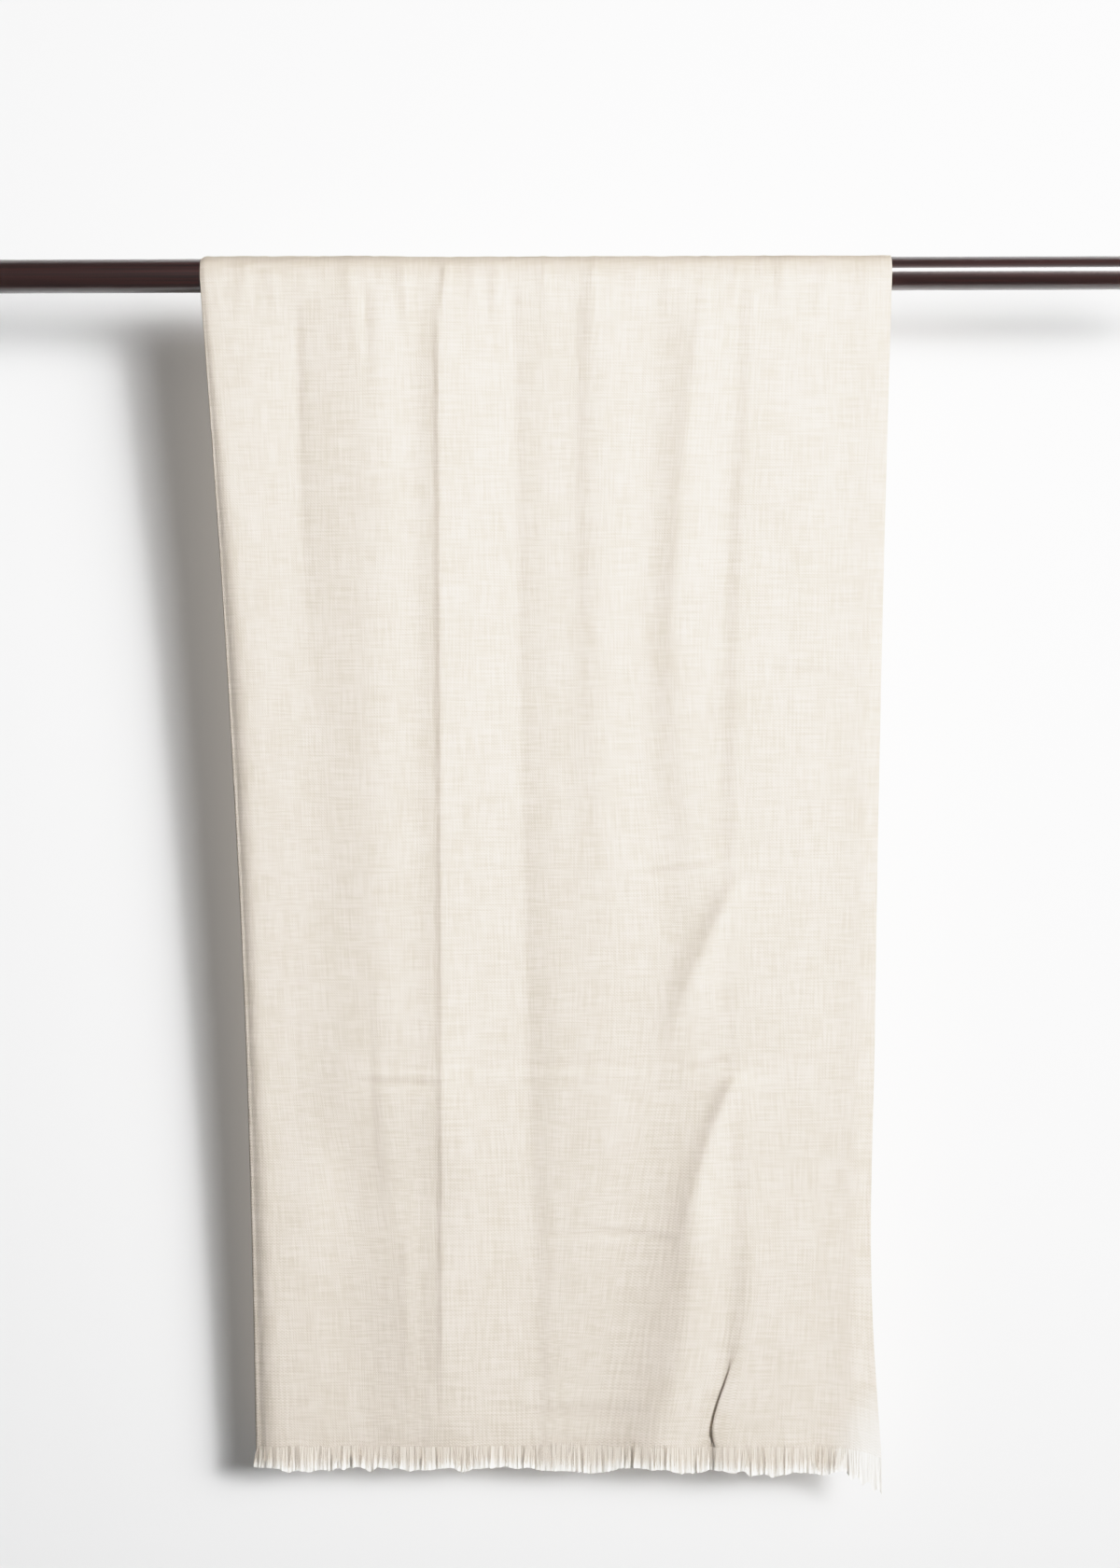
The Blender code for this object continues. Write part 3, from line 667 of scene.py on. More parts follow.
def fall_middle(fall, cloth):
    """Grid of points in the middle of a fall's cloth, and the UV place of each in metres of cloth.

    Rows run from the ridge over the rail to the hem. Columns run from the right-hand selvedge along
    the panel, round the rolled fold at the left and back along the flap behind it. Each row lofts the
    fall's lines: straight across from one line to the next, and outwards by a cubic that is flat at a
    rounded line and straight at a crisp one. Puckers, folds that come to a line, pressed creases,
    crinkles and a slight ripple are added. At the tuck a sine carries the middle layer back under the
    panel, and the hem wavers by a ripple.
    """
    radius = RAIL_RADIUS + RAIL_CLEARANCE + cloth.thickness / 2
    drop = row_drops(fall, cloth, radius)[:, None]
    line_x = np.stack([through(line.x, drop[:, 0]) for line in fall.lines], axis=1)
    line_out = np.stack([through(line.out, drop[:, 0]) for line in fall.lines], axis=1)
    crisp = np.array([line.crisp for line in fall.lines])
    turn_radius = through(TURN_DEPTH, drop) / 2
    flap_end = line_x[:, -1:] + through(FLAP_WIDTH, drop)
    left_edge = line_x[:, -1:].copy()
    line_x[:, -1:] += turn_radius
    relief = ease((drop - RELIEF_STARTS) / (RELIEF_FULL - RELIEF_STARTS))

    def blended(t, start, end, crisp_start, crisp_end):
        smooth = t * t * (3 - 2 * t)
        smooth = smooth + crisp_start * t * (1 - t) ** 2 - crisp_end * t * t * (1 - t)
        return start + (end - start) * smooth

    def lofted_out(x):
        passed = (line_x[:, None, :] > x[:, :, None]).sum(axis=2) - 1
        low = np.clip(passed, 0, line_x.shape[1] - 2)
        right_x, left_x = (np.take_along_axis(line_x, low + k, axis=1) for k in (0, 1))
        right_out, left_out = (np.take_along_axis(line_out, low + k, axis=1) for k in (0, 1))
        t = np.clip((right_x - x) / (right_x - left_x), 0, 1)
        return blended(t, right_out, left_out, crisp[low], crisp[low + 1])

    broad, narrow = (int(rng.integers(1 << 30)) for rng in np.random.default_rng(fall.seed).spawn(2))

    def rippled(x, at_drop, size, seed):
        return ripple(x, at_drop, size, np.random.default_rng(seed))

    def formed(x):
        over_flap = LAYER_STEP * (1 - ease((x - flap_end - FLAP_CLEARANCE) / FLAP_SHOWS_OVER))
        crinkle = 1 + rippled(x, drop / 6, CRINKLE_SIZE, narrow)
        crinkle *= CRINKLE_HEIGHT * (1 - ease(drop / CRINKLE_ENDS))
        uneven = rippled(x, drop / 2.2, 46 * MM, broad) + 0.25 * rippled(x, drop / 1.4, 17 * MM, narrow)
        width = through(ROLL_WIDTH, drop)
        share = np.clip(1 - (x - left_edge - turn_radius) / width, 0, 1)
        height = over_flap + (crinkle + cloth.unevenness * relief * uneven)
        height = height - ROLL_SLOPE * width * share**3 / 3
        height = height + crest_height(fall, x, drop) + press_height(fall, x, drop)
        return height - HEM_CURL * ease((drop - fall.hem_drop * MM + HEM_CURL_HEIGHT) / (2 * HEM_CURL_HEIGHT))

    # Panel
    line_at, share = panel_columns(fall, cloth.column_step)
    tuck_at = [line.name for line in fall.lines].index("tuck_ridge") if fall.overlap else -1
    panel_x = line_x[:, line_at] * (1 - share) + line_x[:, line_at + 1] * share
    panel_out = blended(
        share, line_out[:, line_at], line_out[:, line_at + 1], crisp[line_at], crisp[line_at + 1],
    )
    lean = fall.overlap * MM * ease((drop - TUCK_OPENS[0]) / (TUCK_OPENS[1] - TUCK_OPENS[0]))
    lean *= 1 - ease((drop - TUCK_CLOSES[0]) / (TUCK_CLOSES[1] - TUCK_CLOSES[0]))
    panel_x += lean * np.sin(math.pi * (2 * share - 1)) * (line_at == tuck_at)
    panel = formed(panel_x) + relief * panel_out + gather_height(fall, panel_x, drop)

    # Rolled fold at the left: half a circle from the panel to the flap
    angle = np.linspace(0, math.pi, TURN_COLUMNS + 1)[1:]
    turn_x = left_edge + turn_radius * (1 - np.sin(angle))
    turn = panel[:, -1:] - turn_radius * (1 - np.cos(angle))

    # Flap: follows the panel, set back by the depth of the turn
    flap_columns = round(FLAP_WIDTH[0] * MM / (2.2 * cloth.column_step))
    flap_share = np.linspace(0, 1, flap_columns + 1)[1:]
    flap_x = left_edge + turn_radius + (flap_end - left_edge - turn_radius) * flap_share
    flap = formed(flap_x) + relief * lofted_out(flap_x) - 2 * turn_radius

    x = np.concatenate((panel_x, turn_x, flap_x), axis=1)
    out = np.concatenate((panel, turn, flap), axis=1)
    dip = np.zeros_like(x)
    dip[:, : panel_x.shape[1]] = fall.corner_dip * MM * np.exp((panel_x - line_x[:, :1]) / CORNER_WIDTH)
    dip[:, -flap_columns:] = -FLAP_HEM_RISE * flap_share
    dip *= ease((drop - HEM_SHAPED_FROM) / (fall.hem_drop * MM - HEM_SHAPED_FROM))
    waver = HEM_WAVER * rippled(x, 0 * x, HEM_WAVER_SIZE, broad)
    dip += waver * ease(1 + (drop - fall.hem_drop * MM) / HEM_WAVER_FROM)

    spread = radius + out
    angle = np.clip((drop - drop[0]) / radius, 0, math.pi / 2)
    y = fall.side * spread * np.sin(angle)
    z = spread * np.cos(angle) - np.maximum(drop, 0) - dip
    middle = np.stack((x, y, z), axis=2)

    across = np.concatenate(([0.0], np.cumsum(np.linalg.norm(np.diff(middle[0], axis=0), axis=1))))
    across *= CLOTH_WIDTH / across[-1]
    along = fall.side * (drop - drop[0])
    return middle, np.stack(np.broadcast_arrays(across[None, :], along), axis=2)


def wall_normals(middle):
    """Unit normals of a grid of points, from the chords between each point's neighbours."""
    normals = np.cross(np.gradient(middle, axis=1), np.gradient(middle, axis=0))
    return normals / np.linalg.norm(normals, axis=2, keepdims=True)


def cloth_mesh(name, fall, middle, uv, thickness):
    """Closed shell: the grid set half a thickness outwards, every second row of it inwards, and the rims.

    The side rims join two steps of the outer wall to one of the inner, so their faces have five corners.
    """
    normals = -fall.side * wall_normals(middle)
    outside = middle + normals * thickness / 2
    inside = (middle - normals * thickness / 2)[::2]
    points = np.concatenate((outside.reshape(-1, 3), inside.reshape(-1, 3)))
    outer = np.arange(outside[..., 0].size).reshape(outside.shape[:2])
    inner = outer.size + np.arange(inside[..., 0].size).reshape(inside.shape[:2])
    first, between, second = outer[:-1:2], outer[1::2], outer[2::2]
    sides = np.concatenate((
        faces_between(first[:, 0], between[:, 0], second[:, 0], inner[1:, 0], inner[:-1, 0]),
        faces_between(second[:, -1], between[:, -1], first[:, -1], inner[:-1, -1], inner[1:, -1]),
    ))
    both_uv = np.concatenate((uv.reshape(-1, 2), uv[::2].reshape(-1, 2)))
    return build_mesh(name, points, [shell_faces(outer, inner), sides], both_uv)


# --- Fringe ---


def fringe_length(fall, fringe, x):
    """Length of the fringe at each place: a slow ripple and a quick one, plus a peak for every tuft."""
    rng = np.random.default_rng(200 + fall.seed)
    uneven = ripple(x, 0 * x, 11 * MM, rng) + 0.5 * ripple(x, 0 * x, 3.5 * MM, rng)
    length = fringe.length + fringe.unevenness * uneven
    for tuft in fall.tufts:
        length += tuft.longer * MM * np.exp(-np.hypot((x / MM - tuft.x) / tuft.half_width, 0.3))
    return length


def pleat_height(fall, at, share, reach):
    """Fine pleats of the loose ends: bells across, each of which grows from its own place down."""
    rng = np.random.default_rng(300 + fall.seed)
    places = np.cumsum(rng.uniform(*PLEAT_SPACING, int(reach / (2.6 * MM)))) * MM
    places = places[places < reach][None, None, :]
    half_width = rng.uniform(*PLEAT_HALF_WIDTH, places.shape) * MM
    height = rng.uniform(*PLEAT_HEIGHT, places.shape) * MM
    start = rng.uniform(*PLEAT_START, places.shape)
    bells = np.exp(-(((at[:, :, None] - places) / half_width) ** 2))
    return (height * bells * ease((share[:, :, None] - start) / 0.5)).sum(axis=2)


def fringe_mesh(name, fall, middle, fringe, thickness):
    """Eyelash fringe: a thin veil of loose ends under the hem, with tapering three-sided yarns over it.

    The veil is the hem carried down by its length at each place, pushed in and out by pleats. Each yarn
    starts at a random place just above the hem and goes down to near the veil's edge, with a sine wave
    sideways and another in and out. In the UV map, X is a yarn's painted shade, a random darkening for the
    shade between the yarns, or 1 in the veil, and Y is the share of the way down.
    """
    rng = np.random.default_rng(100 + fall.seed)
    hem = middle[-1]
    normals = -fall.side * wall_normals(middle)[-1] * (1, 1, 0)
    normals /= np.linalg.norm(normals, axis=1, keepdims=True)
    reach = np.concatenate(([0.0], np.cumsum(np.linalg.norm(np.diff(hem, axis=0), axis=1))))

    def along_hem(values, where):
        return np.stack([np.interp(where, reach, values[:, k]) for k in range(3)], axis=-1)

    def hung(at, below, outward):
        places = along_hem(hem, at) + along_hem(normals, at) * outward[..., None]
        places[..., 2] -= below
        return places

    # Veil: a front and a rear grid, joined along all four rims
    columns = int(reach[-1] / fringe.veil_step)
    at, share = np.meshgrid(np.linspace(0, reach[-1], columns + 1), np.linspace(0, 1, VEIL_ROWS + 1))
    below = share * fringe_length(fall, fringe, along_hem(hem, at)[..., 0])
    outward = VEIL_OUT + pleat_height(fall, at, share, reach[-1]) * share**0.5 + fringe.flare * share**3
    grids = [hung(at, below, outward + half) for half in (fringe.veil / 2, -fringe.veil / 2)]
    front, rear = np.arange(2 * at.size).reshape(2, *at.shape)
    veil = np.concatenate((
        shell_faces(front, rear),
        faces_between(front[:-1, 0], front[1:, 0], rear[1:, 0], rear[:-1, 0]),
        faces_between(front[1:, -1], front[:-1, -1], rear[:-1, -1], rear[1:, -1]),
    ))
    veil_uv = np.stack((np.ones(2 * at.size), np.tile(share.reshape(-1), 2)), axis=1)

    # Yarns
    count = int(reach[-1] / fringe.pitch)
    foot = np.sort(rng.uniform(0.3 * MM, reach[-1] - 0.3 * MM, count))[:, None]
    t = np.linspace(0, 1, YARN_STEPS + 1)[None, :]
    phase, turns, sway = (rng.uniform(*span, (2, count, 1)) for span in ((0, 6.3), YARN_TURNS, YARN_SWAY))
    wave = sway * MM * np.sin(phase + 2 * math.pi * turns * t) * (0.2 + t)
    at = np.clip(foot + wave[0], 0, reach[-1])
    head = (YARN_HEAD[0] + YARN_HEAD[1] * rng.uniform(0, 1, (count, 1)) ** 2) * MM
    foot_x = along_hem(hem, foot)[..., 0]
    length = fringe_length(fall, fringe, foot_x) * rng.uniform(*YARN_LENGTH, (count, 1))
    side = np.where(rng.uniform(0, 1, (count, 1)) < YARNS_OUTSIDE, 1.0, -1.0)
    clear = side * (thickness / 2 + fringe.yarn / 8) * (1 - t) + side * fringe.yarn / 2 * t
    below = (head + length) * t - head
    share = np.clip(below / length, 0, 1)
    outward = clear + (pleat_height(fall, at, share, reach[-1]) + 0.3 * wave[1]) * share**0.5
    centre = hung(at, below, outward + fringe.flare * share**3)
    normal = along_hem(normals, at)
    tangent = np.stack((normal[..., 1], -normal[..., 0], 0 * at), axis=-1)
    thick = fringe.yarn / 2 * rng.uniform(*YARN_GAUGE, (count, 1)) * (1 - 0.6 * t) * (0.3 + 0.7 * ease(3 * t))
    turn = np.arange(3)[:, None] * 2 * math.pi / 3
    ring = tangent[:, :, None, :] * np.cos(turn) + normal[:, :, None, :] * np.sin(turn)
    rings = centre[:, :, None, :] + ring * thick[:, :, None, None]
    index = 2 * front.size + np.arange(count * t.size * 3).reshape(count, t.size, 3)
    beside = np.roll(index, 1, axis=2)
    sides = faces_between(index[:, :-1], beside[:, :-1], beside[:, 1:], index[:, 1:])
    caps = np.concatenate((index[:, 0], index[:, -1, ::-1]))
    # Painted shade: each yarn darker by a random share, for the shade between the yarns, none near the frayed
    # corner
    tone = np.maximum(rng.uniform(0, 0.9, (count, 1)), ease((foot_x - FRAYED_FROM) / FRAYED_OVER))[..., None]
    yarn_uv = np.stack(np.broadcast_arrays(tone, t[:, :, None] + np.zeros((1, 1, 3))), axis=-1)

    points = np.concatenate([grid.reshape(-1, 3) for grid in (*grids, rings)])
    uv = np.concatenate((veil_uv, yarn_uv.reshape(-1, 2)))
    return build_mesh(name, points, outwards(points, [veil]) + outwards(points, [sides, caps]), uv)


# --- Rail ---


def rail_mesh(name, rail):
    """Solid of revolution about X: a circle carried along a profile of place and radius, closed by poles.

    The profile runs from one pole through a quarter-round arris, along the rail and back to the other pole.
    """
    bow = np.linspace(0, math.pi / 2, 6)[1:]
    face = np.linspace(0.15, 1, 4) * (RAIL_RADIUS - rail.chamfer)
    end_x = np.concatenate((np.full(4, RAIL_LENGTH / 2), RAIL_LENGTH / 2 - rail.chamfer * (1 - np.cos(bow))))
    end_r = np.concatenate((face, RAIL_RADIUS - rail.chamfer * (1 - np.sin(bow))))
    x = np.concatenate((-end_x, end_x[::-1]))
    r = np.concatenate((end_r, end_r[::-1]))
    turn = np.arange(rail.sides) * 2 * math.pi / rail.sides
    circles = (x[:, None], r[:, None] * np.cos(turn), r[:, None] * np.sin(turn))
    rings = np.stack(np.broadcast_arrays(*circles), axis=2)
    points = np.concatenate((rings.reshape(-1, 3), [(x[0], 0, 0), (x[-1], 0, 0)]))
    index = np.arange(len(x) * rail.sides).reshape(len(x), rail.sides)
    beside = np.roll(index, -1, axis=1)
    sides = faces_between(index[:-1], index[1:], beside[1:], beside[:-1])
    first, last = (np.full(rail.sides, len(points) - k) for k in (2, 1))
    poles = np.concatenate((
        faces_between(index[0], beside[0], first), faces_between(beside[-1], index[-1], last),
    ))
    uv = np.stack((points[:, 0], np.arctan2(points[:, 2], points[:, 1]) * RAIL_RADIUS), axis=-1)
    return build_mesh(name, points, [sides, poles], uv)


# --- Materials ---


def add_node(tree, kind, links=(), **settings):
    """Add a node with its settings. links gives sockets a value, another socket or a node's first output."""
    node = tree.nodes.new(kind)
    for name, value in settings.items():
        setattr(node, name, value)
    for socket, source in dict(links).items():
        if isinstance(source, bpy.types.Node):
            source = source.outputs[0]
        if isinstance(source, bpy.types.NodeSocket):
            tree.links.new(source, node.inputs[socket])
        else:
            node.inputs[socket].default_value = source
    return node


def start_material(name):
    """An empty node material and its node tree."""
    material = bpy.data.materials.new(name)
    material.use_nodes = True
    tree = material.node_tree
    tree.nodes.clear()
    return material, tree


def near_corner(tree, spot):
    """Share from 1 at the frayed corner, at the foot of the front selvedge, to 0 a few centimetres away:
    where light coming through the thin cloth is painted.
    """
    (x, z), (width, height) = FRAYED_AT, FRAYED_REACH
    corner = add_node(tree, "ShaderNodeMapping", {
        "Vector": spot, "Location": (-x / width, 0, -z / height), "Scale": (1 / width, 0, 1 / height),
    })
    near = add_node(tree, "ShaderNodeTexGradient", {"Vector": corner}, gradient_type="SPHERICAL")
    return near.outputs["Fac"]


def woven_merino(cloth):
    """Plain-woven merino: fine worsted yarn of uneven thickness, washed and pressed.

    Real threads lie about 0.5 mm apart, too fine for the render, so the weave is drawn coarser. Thick
    places in single threads give the cross-hatch of slightly lighter and darker streaks, and the nap
    gives a faint sheen at the edges.
    """
    material, tree = start_material("Plain-woven merino")
    place = add_node(tree, "ShaderNodeUVMap", uv_map="UVMap")

    def slubs(across, along, seed):
        scaled = add_node(tree, "ShaderNodeMapping", {
            "Vector": place, "Location": (seed, seed * 0.7, 0), "Scale": (1 / across, 1 / along, 1),
        })
        return add_node(tree, "ShaderNodeTexNoise", {
            "Vector": scaled, "Scale": 1.0, "Detail": 2.0, "Roughness": 0.6,
        }, noise_dimensions="2D")

    warp = slubs(cloth.slub_width, cloth.slub_length, 3.1)
    weft = slubs(cloth.slub_length, cloth.slub_width, 8.4)
    cloud = slubs(28 * MM, 60 * MM, 5.7)
    # Plain weave: over and under, as the product of a wave along the warp and one along the weft
    weave = WEAVE_DEPTH
    for part in add_node(tree, "ShaderNodeSeparateXYZ", {"Vector": place}).outputs[:2]:
        turns = add_node(tree, "ShaderNodeMath", {
            0: part, 1: 2 * math.pi / cloth.thread_pitch,
        }, operation="MULTIPLY")
        wave = add_node(tree, "ShaderNodeMath", {0: turns}, operation="SINE")
        weave = add_node(tree, "ShaderNodeMath", {0: wave, 1: weave}, operation="MULTIPLY")
    slubbed = add_node(tree, "ShaderNodeMath", {0: warp, 1: weft}, operation="ADD")
    height = add_node(tree, "ShaderNodeMath", {0: slubbed, 1: weave}, operation="ADD")
    clouds = add_node(tree, "ShaderNodeMath", {0: cloud, 1: CLOUD_DEPTH}, operation="MULTIPLY")
    total = add_node(tree, "ShaderNodeMath", {0: height, 1: clouds}, operation="ADD")
    tone = add_node(tree, "ShaderNodeMapRange", {"Value": total, "From Min": 0.85, "From Max": 1.5})
    cream = add_node(tree, "ShaderNodeMix", {
        0: tone, 6: (*cloth.wool_shade, 1), 7: (*cloth.wool, 1),
    }, data_type="RGBA")

    # Painted shade over the top of the rail, for the top's own shade and the dark rail showing through the
    # thin cloth, and painted light at the frayed corner, where light comes through
    spot = add_node(tree, "ShaderNodeTexCoord").outputs["Object"]
    high = add_node(tree, "ShaderNodeSeparateXYZ", {"Vector": spot}).outputs["Z"]
    painted_rail_shade = add_node(tree, "ShaderNodeMapRange", {
        "Value": high, "From Min": -5 * MM, "From Max": RAIL_RADIUS, "To Max": 0.5,
    })
    over_rail = add_node(tree, "ShaderNodeMix", {
        0: painted_rail_shade, 6: cream.outputs[2], 7: (*cloth.over_rail, 1),
    }, data_type="RGBA")
    # Painted light: the frayed corner made nearly white, for light coming through the thin cloth
    colour = add_node(tree, "ShaderNodeMix", {
        0: near_corner(tree, spot), 6: over_rail.outputs[2], 7: (*cloth.painted_backlight, 1),
    }, data_type="RGBA")
    bump = add_node(tree, "ShaderNodeBump", {"Height": height, "Strength": 0.45, "Distance": 0.4 * MM})
    shader = add_node(tree, "ShaderNodeBsdfPrincipled", {
        "Base Color": colour.outputs[2], "Normal": bump, "Roughness": 0.9, "Specular IOR Level": 0.25,
        "Sheen Weight": 0.12, "Sheen Roughness": 0.5,
    })
    add_node(tree, "ShaderNodeOutputMaterial", {"Surface": shader})
    return material


def loose_merino(fringe):
    """Loose merino ends: unwoven worsted yarn, with painted shade on random darker yarns and painted light at
    the thin tips.
    """
    material, tree = start_material("Loose merino ends")
    place = add_node(tree, "ShaderNodeUVMap", uv_map="UVMap")
    shade, down = add_node(tree, "ShaderNodeSeparateXYZ", {"Vector": place}).outputs[:2]
    # Painted shade: each yarn darker by a random share, for the shade between the yarns
    yarn = add_node(tree, "ShaderNodeMix", {
        0: shade, 6: (*(c * 0.78 for c in fringe.wool), 1), 7: (*fringe.wool, 1),
    }, data_type="RGBA")
    # Painted light: the lower part of the veil turns pale, for light coming through its thin tips
    tip = add_node(tree, "ShaderNodeMapRange", {"Value": down, "From Min": 0.5, "From Max": 0.92})
    veil = add_node(tree, "ShaderNodeMath", {0: shade, 1: 0.95}, operation="GREATER_THAN")
    painted_tip_light = add_node(tree, "ShaderNodeMath", {0: tip, 1: veil}, operation="MULTIPLY")
    # Painted light at the frayed corner, for light coming through the thin yarns
    spot = add_node(tree, "ShaderNodeTexCoord").outputs["Object"]
    corner_backlight_share = add_node(tree, "ShaderNodeMath", {
        0: near_corner(tree, spot), 1: 1.8,
    }, operation="MULTIPLY", use_clamp=True)
    painted_light_share = add_node(tree, "ShaderNodeMath", {0: painted_tip_light, 1: corner_backlight_share}, operation="MAXIMUM")
    colour = add_node(tree, "ShaderNodeMix", {
        0: painted_light_share, 6: yarn.outputs[2], 7: (*fringe.painted_tip_light, 1),
    }, data_type="RGBA")
    scaled = add_node(tree, "ShaderNodeMapping", {"Vector": place, "Scale": (400, 20, 1)})
    twist = add_node(tree, "ShaderNodeTexNoise", {
        "Vector": scaled, "Scale": 1.0, "Detail": 1.0,
    }, noise_dimensions="2D")
    bump = add_node(tree, "ShaderNodeBump", {"Height": twist, "Strength": 0.3, "Distance": 0.1 * MM})
    shader = add_node(tree, "ShaderNodeBsdfPrincipled", {
        "Base Color": colour.outputs[2], "Normal": bump, "Roughness": 0.9, "Specular IOR Level": 0.2,
        "Sheen Weight": 0.25,
    })
    add_node(tree, "ShaderNodeOutputMaterial", {"Surface": shader})
    return material


def lacquered_hardwood(rail):
    """Dark lacquered hardwood: turned, stained and sprayed; the grain runs along it under a clear gloss."""
    material, tree = start_material("Lacquered hardwood")
    place = add_node(tree, "ShaderNodeTexCoord").outputs["Object"]
    scaled = add_node(tree, "ShaderNodeMapping", {
        "Vector": place, "Scale": (1 / GRAIN_SIZE[0], 1 / GRAIN_SIZE[1], 1 / GRAIN_SIZE[1]),
    })
    grain = add_node(tree, "ShaderNodeTexNoise", {
        "Vector": scaled, "Scale": 1.0, "Detail": 4.0, "Roughness": 0.6,
    })
    tone = add_node(tree, "ShaderNodeMapRange", {"Value": grain, "From Min": 0.35, "From Max": 0.7})
    colour = add_node(tree, "ShaderNodeMix", {
        0: tone, 6: (*rail.dark, 1), 7: (*rail.light, 1),
    }, data_type="RGBA")
    bump = add_node(tree, "ShaderNodeBump", {"Height": grain, "Strength": 0.12, "Distance": 0.1 * MM})
    shader = add_node(tree, "ShaderNodeBsdfPrincipled", {
        "Base Color": colour.outputs[2], "Normal": bump, "Roughness": 0.32, "Coat Weight": 0.8,
        "Coat Roughness": 0.1,
    })
    add_node(tree, "ShaderNodeOutputMaterial", {"Surface": shader})
    return material


def matt_wall(stage):
    """Matt white paint on the wall and floor; the wall is clear from behind, so the back can be looked at."""
    material, tree = start_material("Matt white paint")
    shader = add_node(tree, "ShaderNodeBsdfPrincipled", {
        "Base Color": (*stage.wall, 1), "Roughness": 1.0, "Specular IOR Level": 0.0,
    })
    side = add_node(tree, "ShaderNodeNewGeometry").outputs["Backfacing"]
    clear = add_node(tree, "ShaderNodeBsdfTransparent")
    mix = add_node(tree, "ShaderNodeMixShader", {0: side, 1: shader, 2: clear})
    add_node(tree, "ShaderNodeOutputMaterial", {"Surface": mix})
    return material


# --- Stage ---


def stage_sheet(name, corners, material):
    """One flat rectangle of the stage, its four corners turning anticlockwise as its face is seen."""
    mesh = bpy.data.meshes.new(name)
    mesh.from_pydata(corners, [], [(0, 1, 2, 3)])
    mesh.materials.append(material)
    sheet = bpy.data.objects.new(name, mesh)
    bpy.context.scene.collection.objects.link(sheet)
    sheet.visible_shadow = False
    sheet.visible_diffuse = False
    return sheet


def add_softbox(name, place, target, size, spread, power):
    """Oblong area light at a place, aimed at a target; spread is the angle of its beam in degrees."""
    light = bpy.data.lights.new(name, "AREA")
    light.shape = "RECTANGLE"
    light.size, light.size_y = size
    light.spread = math.radians(spread)
    light.energy = power
    lamp = bpy.data.objects.new(name, light)
    lamp.location = place
    lamp.rotation_euler = (Vector(target) - Vector(place)).to_track_quat("-Z", "Y").to_euler()
    lamp.visible_camera = False
    bpy.context.scene.collection.objects.link(lamp)
    return lamp


def light_room(scene, ambient):
    """Even white light from all round, and a pale grey where the camera sees past the stage."""
    world = bpy.data.worlds.new("room")
    world.use_nodes = True
    world.node_tree.nodes.clear()
    tree = world.node_tree
    room = add_node(tree, "ShaderNodeBackground", {"Color": (1, 1, 1, 1), "Strength": ambient})
    seen = add_node(tree, "ShaderNodeBackground", {"Color": (*[ROOM_SEEN] * 3, 1), "Strength": 1.0})
    ray = add_node(tree, "ShaderNodeLightPath").outputs["Is Camera Ray"]
    mix = add_node(tree, "ShaderNodeMixShader", {0: ray, 1: room, 2: seen})
    add_node(tree, "ShaderNodeOutputWorld", {"Surface": mix})
    scene.world = world


def place_camera(scene, distance):
    """Camera straight in front of the shawl, level with the middle of the photograph."""
    lens = bpy.data.cameras.new("camera")
    lens.sensor_width = SENSOR_WIDTH
    lens.lens = SENSOR_WIDTH / 2 / math.tan(math.radians(VIEW_ANGLE / 2))
    lens.clip_end = 50
    camera = bpy.data.objects.new("camera", lens)
    camera.location = (0, -distance - CLOTH_FRONT, CAMERA_HEIGHT)
    camera.rotation_euler = (math.radians(90), math.radians(CAMERA_ROLL), 0)
    scene.collection.objects.link(camera)
    scene.camera = camera


def soften_highlights(view):
    """Round off the bright tones, as the photograph's exposure does: x becomes x / (1 + x^n)^(1/n)."""
    view.view_transform = "Standard"
    view.look = "None"
    view.use_curve_mapping = True
    curves = view.curve_mapping
    curves.clip_max_x = TONE_RANGE
    curve = curves.curves[3]
    tones = np.linspace(0, TONE_RANGE, 13)
    softened = tones / (1 + tones ** TONE_KNEE) ** (1 / TONE_KNEE)
    curve.points[0].location = (tones[0], softened[0])
    curve.points[1].location = (tones[-1], softened[-1])
    for tone, soft in zip(tones[1:-1], softened[1:-1]):
        curve.points.new(tone, soft)
    curves.update()


# --- Operators ---


def hang_fall(scene, fall):
    """Make one fall's cloth and its fringe."""
    cloth, fringe = scene.shawl_cloth, scene.shawl_fringe
    wool = bpy.data.materials.get("Plain-woven merino") or woven_merino(cloth)
    ends = bpy.data.materials.get("Loose merino ends") or loose_merino(fringe)
    middle, uv = fall_middle(fall, cloth)
    sheet_name = f"shawl_{fall.name}_cloth"
    fringe_name = f"fringe_{fall.name}_yarns"
    sheet = add_piece(
        sheet_name, cloth_mesh(sheet_name, fall, middle, uv, cloth.thickness), wool,
        f"shawl_{fall.name}",
    )
    yarns = add_piece(
        fringe_name, fringe_mesh(fringe_name, fall, middle, fringe, cloth.thickness), ends,
        f"fringe_{fall.name}",
    )


class SHAWL_OT_turn_rail(Operator):
    """Make the lacquered rail"""

    bl_idname = "shawl.turn_rail"
    bl_label = "Rail"

    def execute(self, context):
        rail = context.scene.shawl_rail
        wood = lacquered_hardwood(rail)
        add_piece("rail_lacquered", rail_mesh("rail_lacquered", rail), wood, "rail")
        return {"FINISHED"}


class SHAWL_OT_hang_front(Operator):
    """Hang the front fall of the shawl and its fringe"""

    bl_idname = "shawl.hang_front"
    bl_label = "Front fall"

    def execute(self, context):
        hang_fall(context.scene, FRONT)
        return {"FINISHED"}


class SHAWL_OT_hang_back(Operator):
    """Hang the back fall of the shawl and its fringe"""

    bl_idname = "shawl.hang_back"
    bl_label = "Back fall"

    def execute(self, context):
        hang_fall(context.scene, BACK)
        return {"FINISHED"}


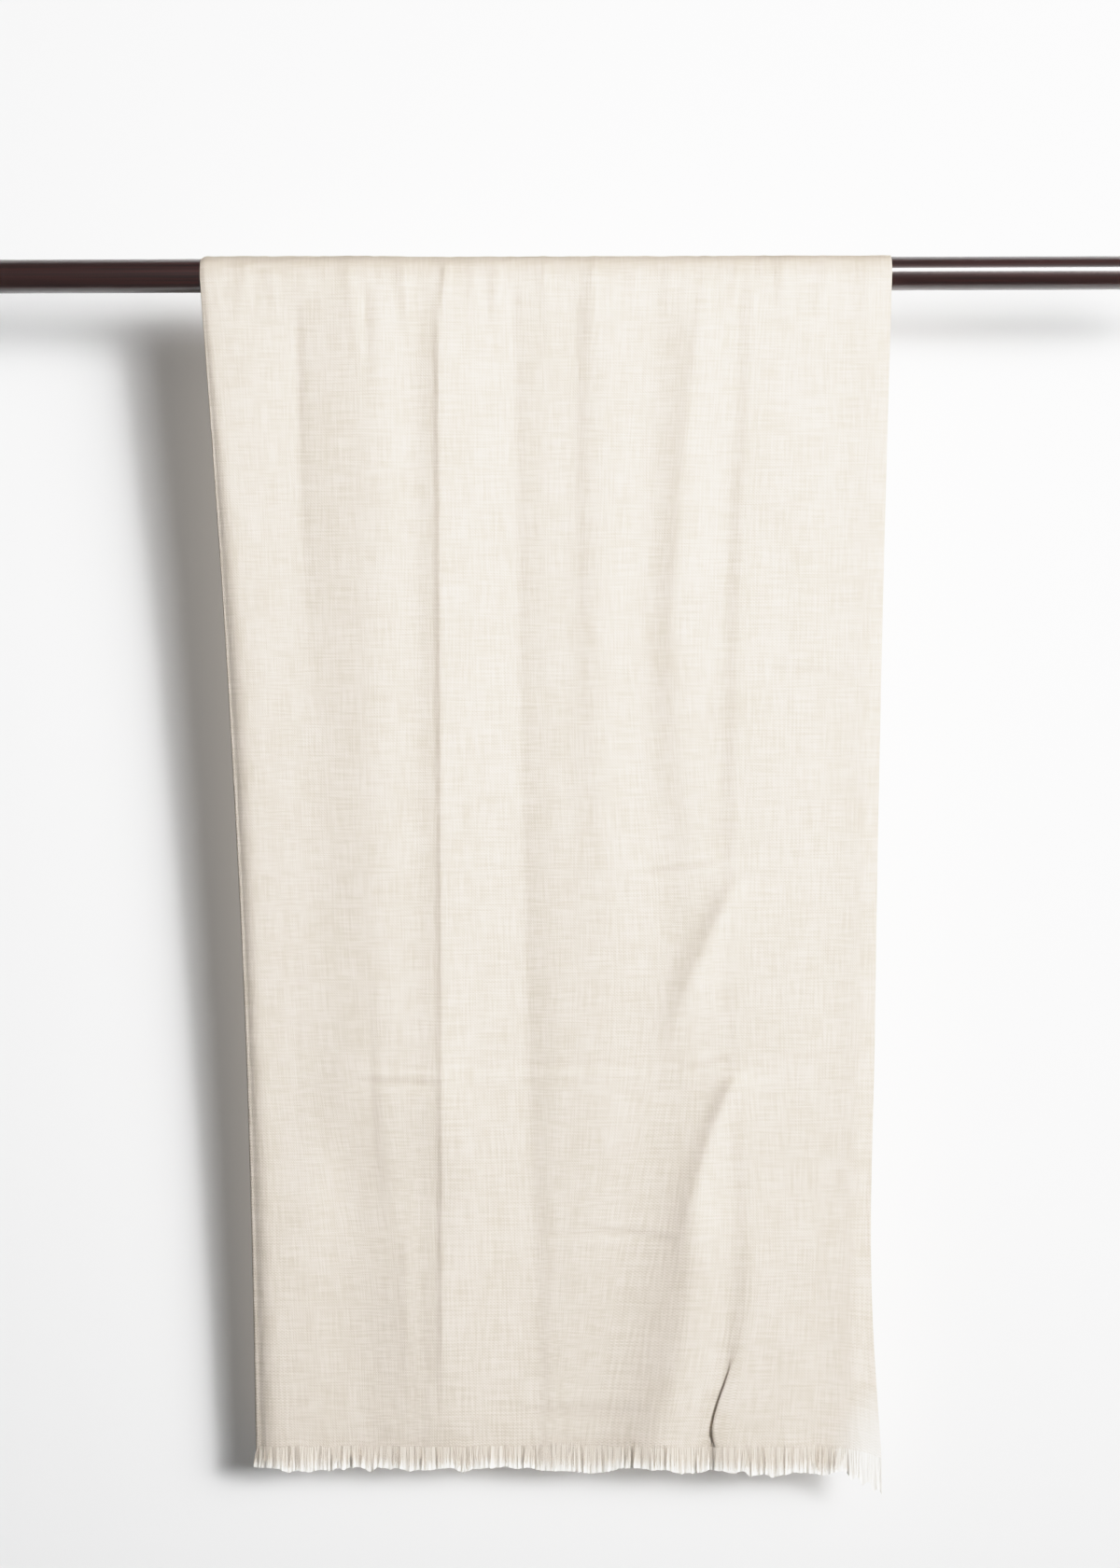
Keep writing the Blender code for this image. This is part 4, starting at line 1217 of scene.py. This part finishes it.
class SHAWL_OT_set_stage(Operator):
    """Put up the wall, the floor, the lights and the camera"""

    bl_idname = "shawl.set_stage"
    bl_label = "Stage"

    def execute(self, context):
        scene = context.scene
        stage = scene.shawl_stage
        paint = matt_wall(stage)
        gap, floor = stage.wall_gap, -stage.floor_drop
        stage_sheet("wall", [
            (x * WALL_HALF, gap + WALL_LEAN * z, z)
            for x, z in ((-1, WALL_TOP), (-1, floor), (1, floor), (1, WALL_TOP))
        ], paint)
        floor_sheet = stage_sheet("floor", [
            (x * FLOOR_HALF, y * FLOOR_HALF, floor) for x, y in ((-1, -1), (1, -1), (1, 1), (-1, 1))
        ], paint)
        floor_sheet.visible_glossy = False

        # Lamps: name, place, target, size, and the spread of the beam in degrees
        for name, place, target, size, spread in (
            ("key", (3.45, -4.6, 1.15), (0.1, 0, 0.3), (4.2, 3.4), 45),
            ("boost", (3.45, -4.6, 1.15), (0.72, 0, -0.2), (1.8, 1.8), 17),
            ("rear", (3.0, 2.9, 0.3), (0, 0, -0.42), (2.0, 2.0), 180),
            ("floor", (0, 0, floor + 0.04), (0, 0, floor - 1), (14, 14), 180),
            ("glint", (0.95, -2.2, 0.8), (0.4, 0, 0), (1.1, 0.75), 180),
        ):
            power = getattr(stage, f"{name}_power")
            lamp = add_softbox(f"{name} light", place, target, size, spread, power)
            lamp.visible_glossy = name != "floor"
            lamp.visible_diffuse = name != "glint"
        light_room(scene, stage.ambient)
        place_camera(scene, stage.distance)
        soften_highlights(scene.view_settings)
        return {"FINISHED"}


class SHAWL_PT_sidebar(Panel):
    """Sizes, colours and pieces of the shawl"""

    bl_idname = "SHAWL_PT_sidebar"
    bl_label = "Shawl"
    bl_space_type = "VIEW_3D"
    bl_region_type = "UI"
    bl_category = "Shawl"

    def draw(self, context):
        for operator, settings in (
            (SHAWL_OT_turn_rail, context.scene.shawl_rail),
            (SHAWL_OT_hang_front, context.scene.shawl_cloth),
            (SHAWL_OT_hang_back, context.scene.shawl_fringe),
            (SHAWL_OT_set_stage, context.scene.shawl_stage),
        ):
            box = self.layout.box()
            box.operator(operator.bl_idname)
            for name in settings.bl_rna.properties.keys()[2:]:
                box.prop(settings, name)


SETTINGS = {
    "shawl_cloth": ClothSettings,
    "shawl_fringe": FringeSettings,
    "shawl_rail": RailSettings,
    "shawl_stage": StageSettings,
}
CLASSES = (
    *SETTINGS.values(),
    SHAWL_OT_turn_rail,
    SHAWL_OT_hang_front,
    SHAWL_OT_hang_back,
    SHAWL_OT_set_stage,
    SHAWL_PT_sidebar,
)


def register():
    for cls in CLASSES:
        bpy.utils.register_class(cls)
    for name, cls in SETTINGS.items():
        setattr(bpy.types.Scene, name, PointerProperty(type=cls))


def unregister():
    for name in SETTINGS:
        delattr(bpy.types.Scene, name)
    for cls in reversed(CLASSES):
        bpy.utils.unregister_class(cls)


def main():
    register()
    bpy.ops.shawl.turn_rail()
    bpy.ops.shawl.hang_front()
    bpy.ops.shawl.hang_back()
    bpy.ops.shawl.set_stage()


if __name__ == "__main__":
    main()
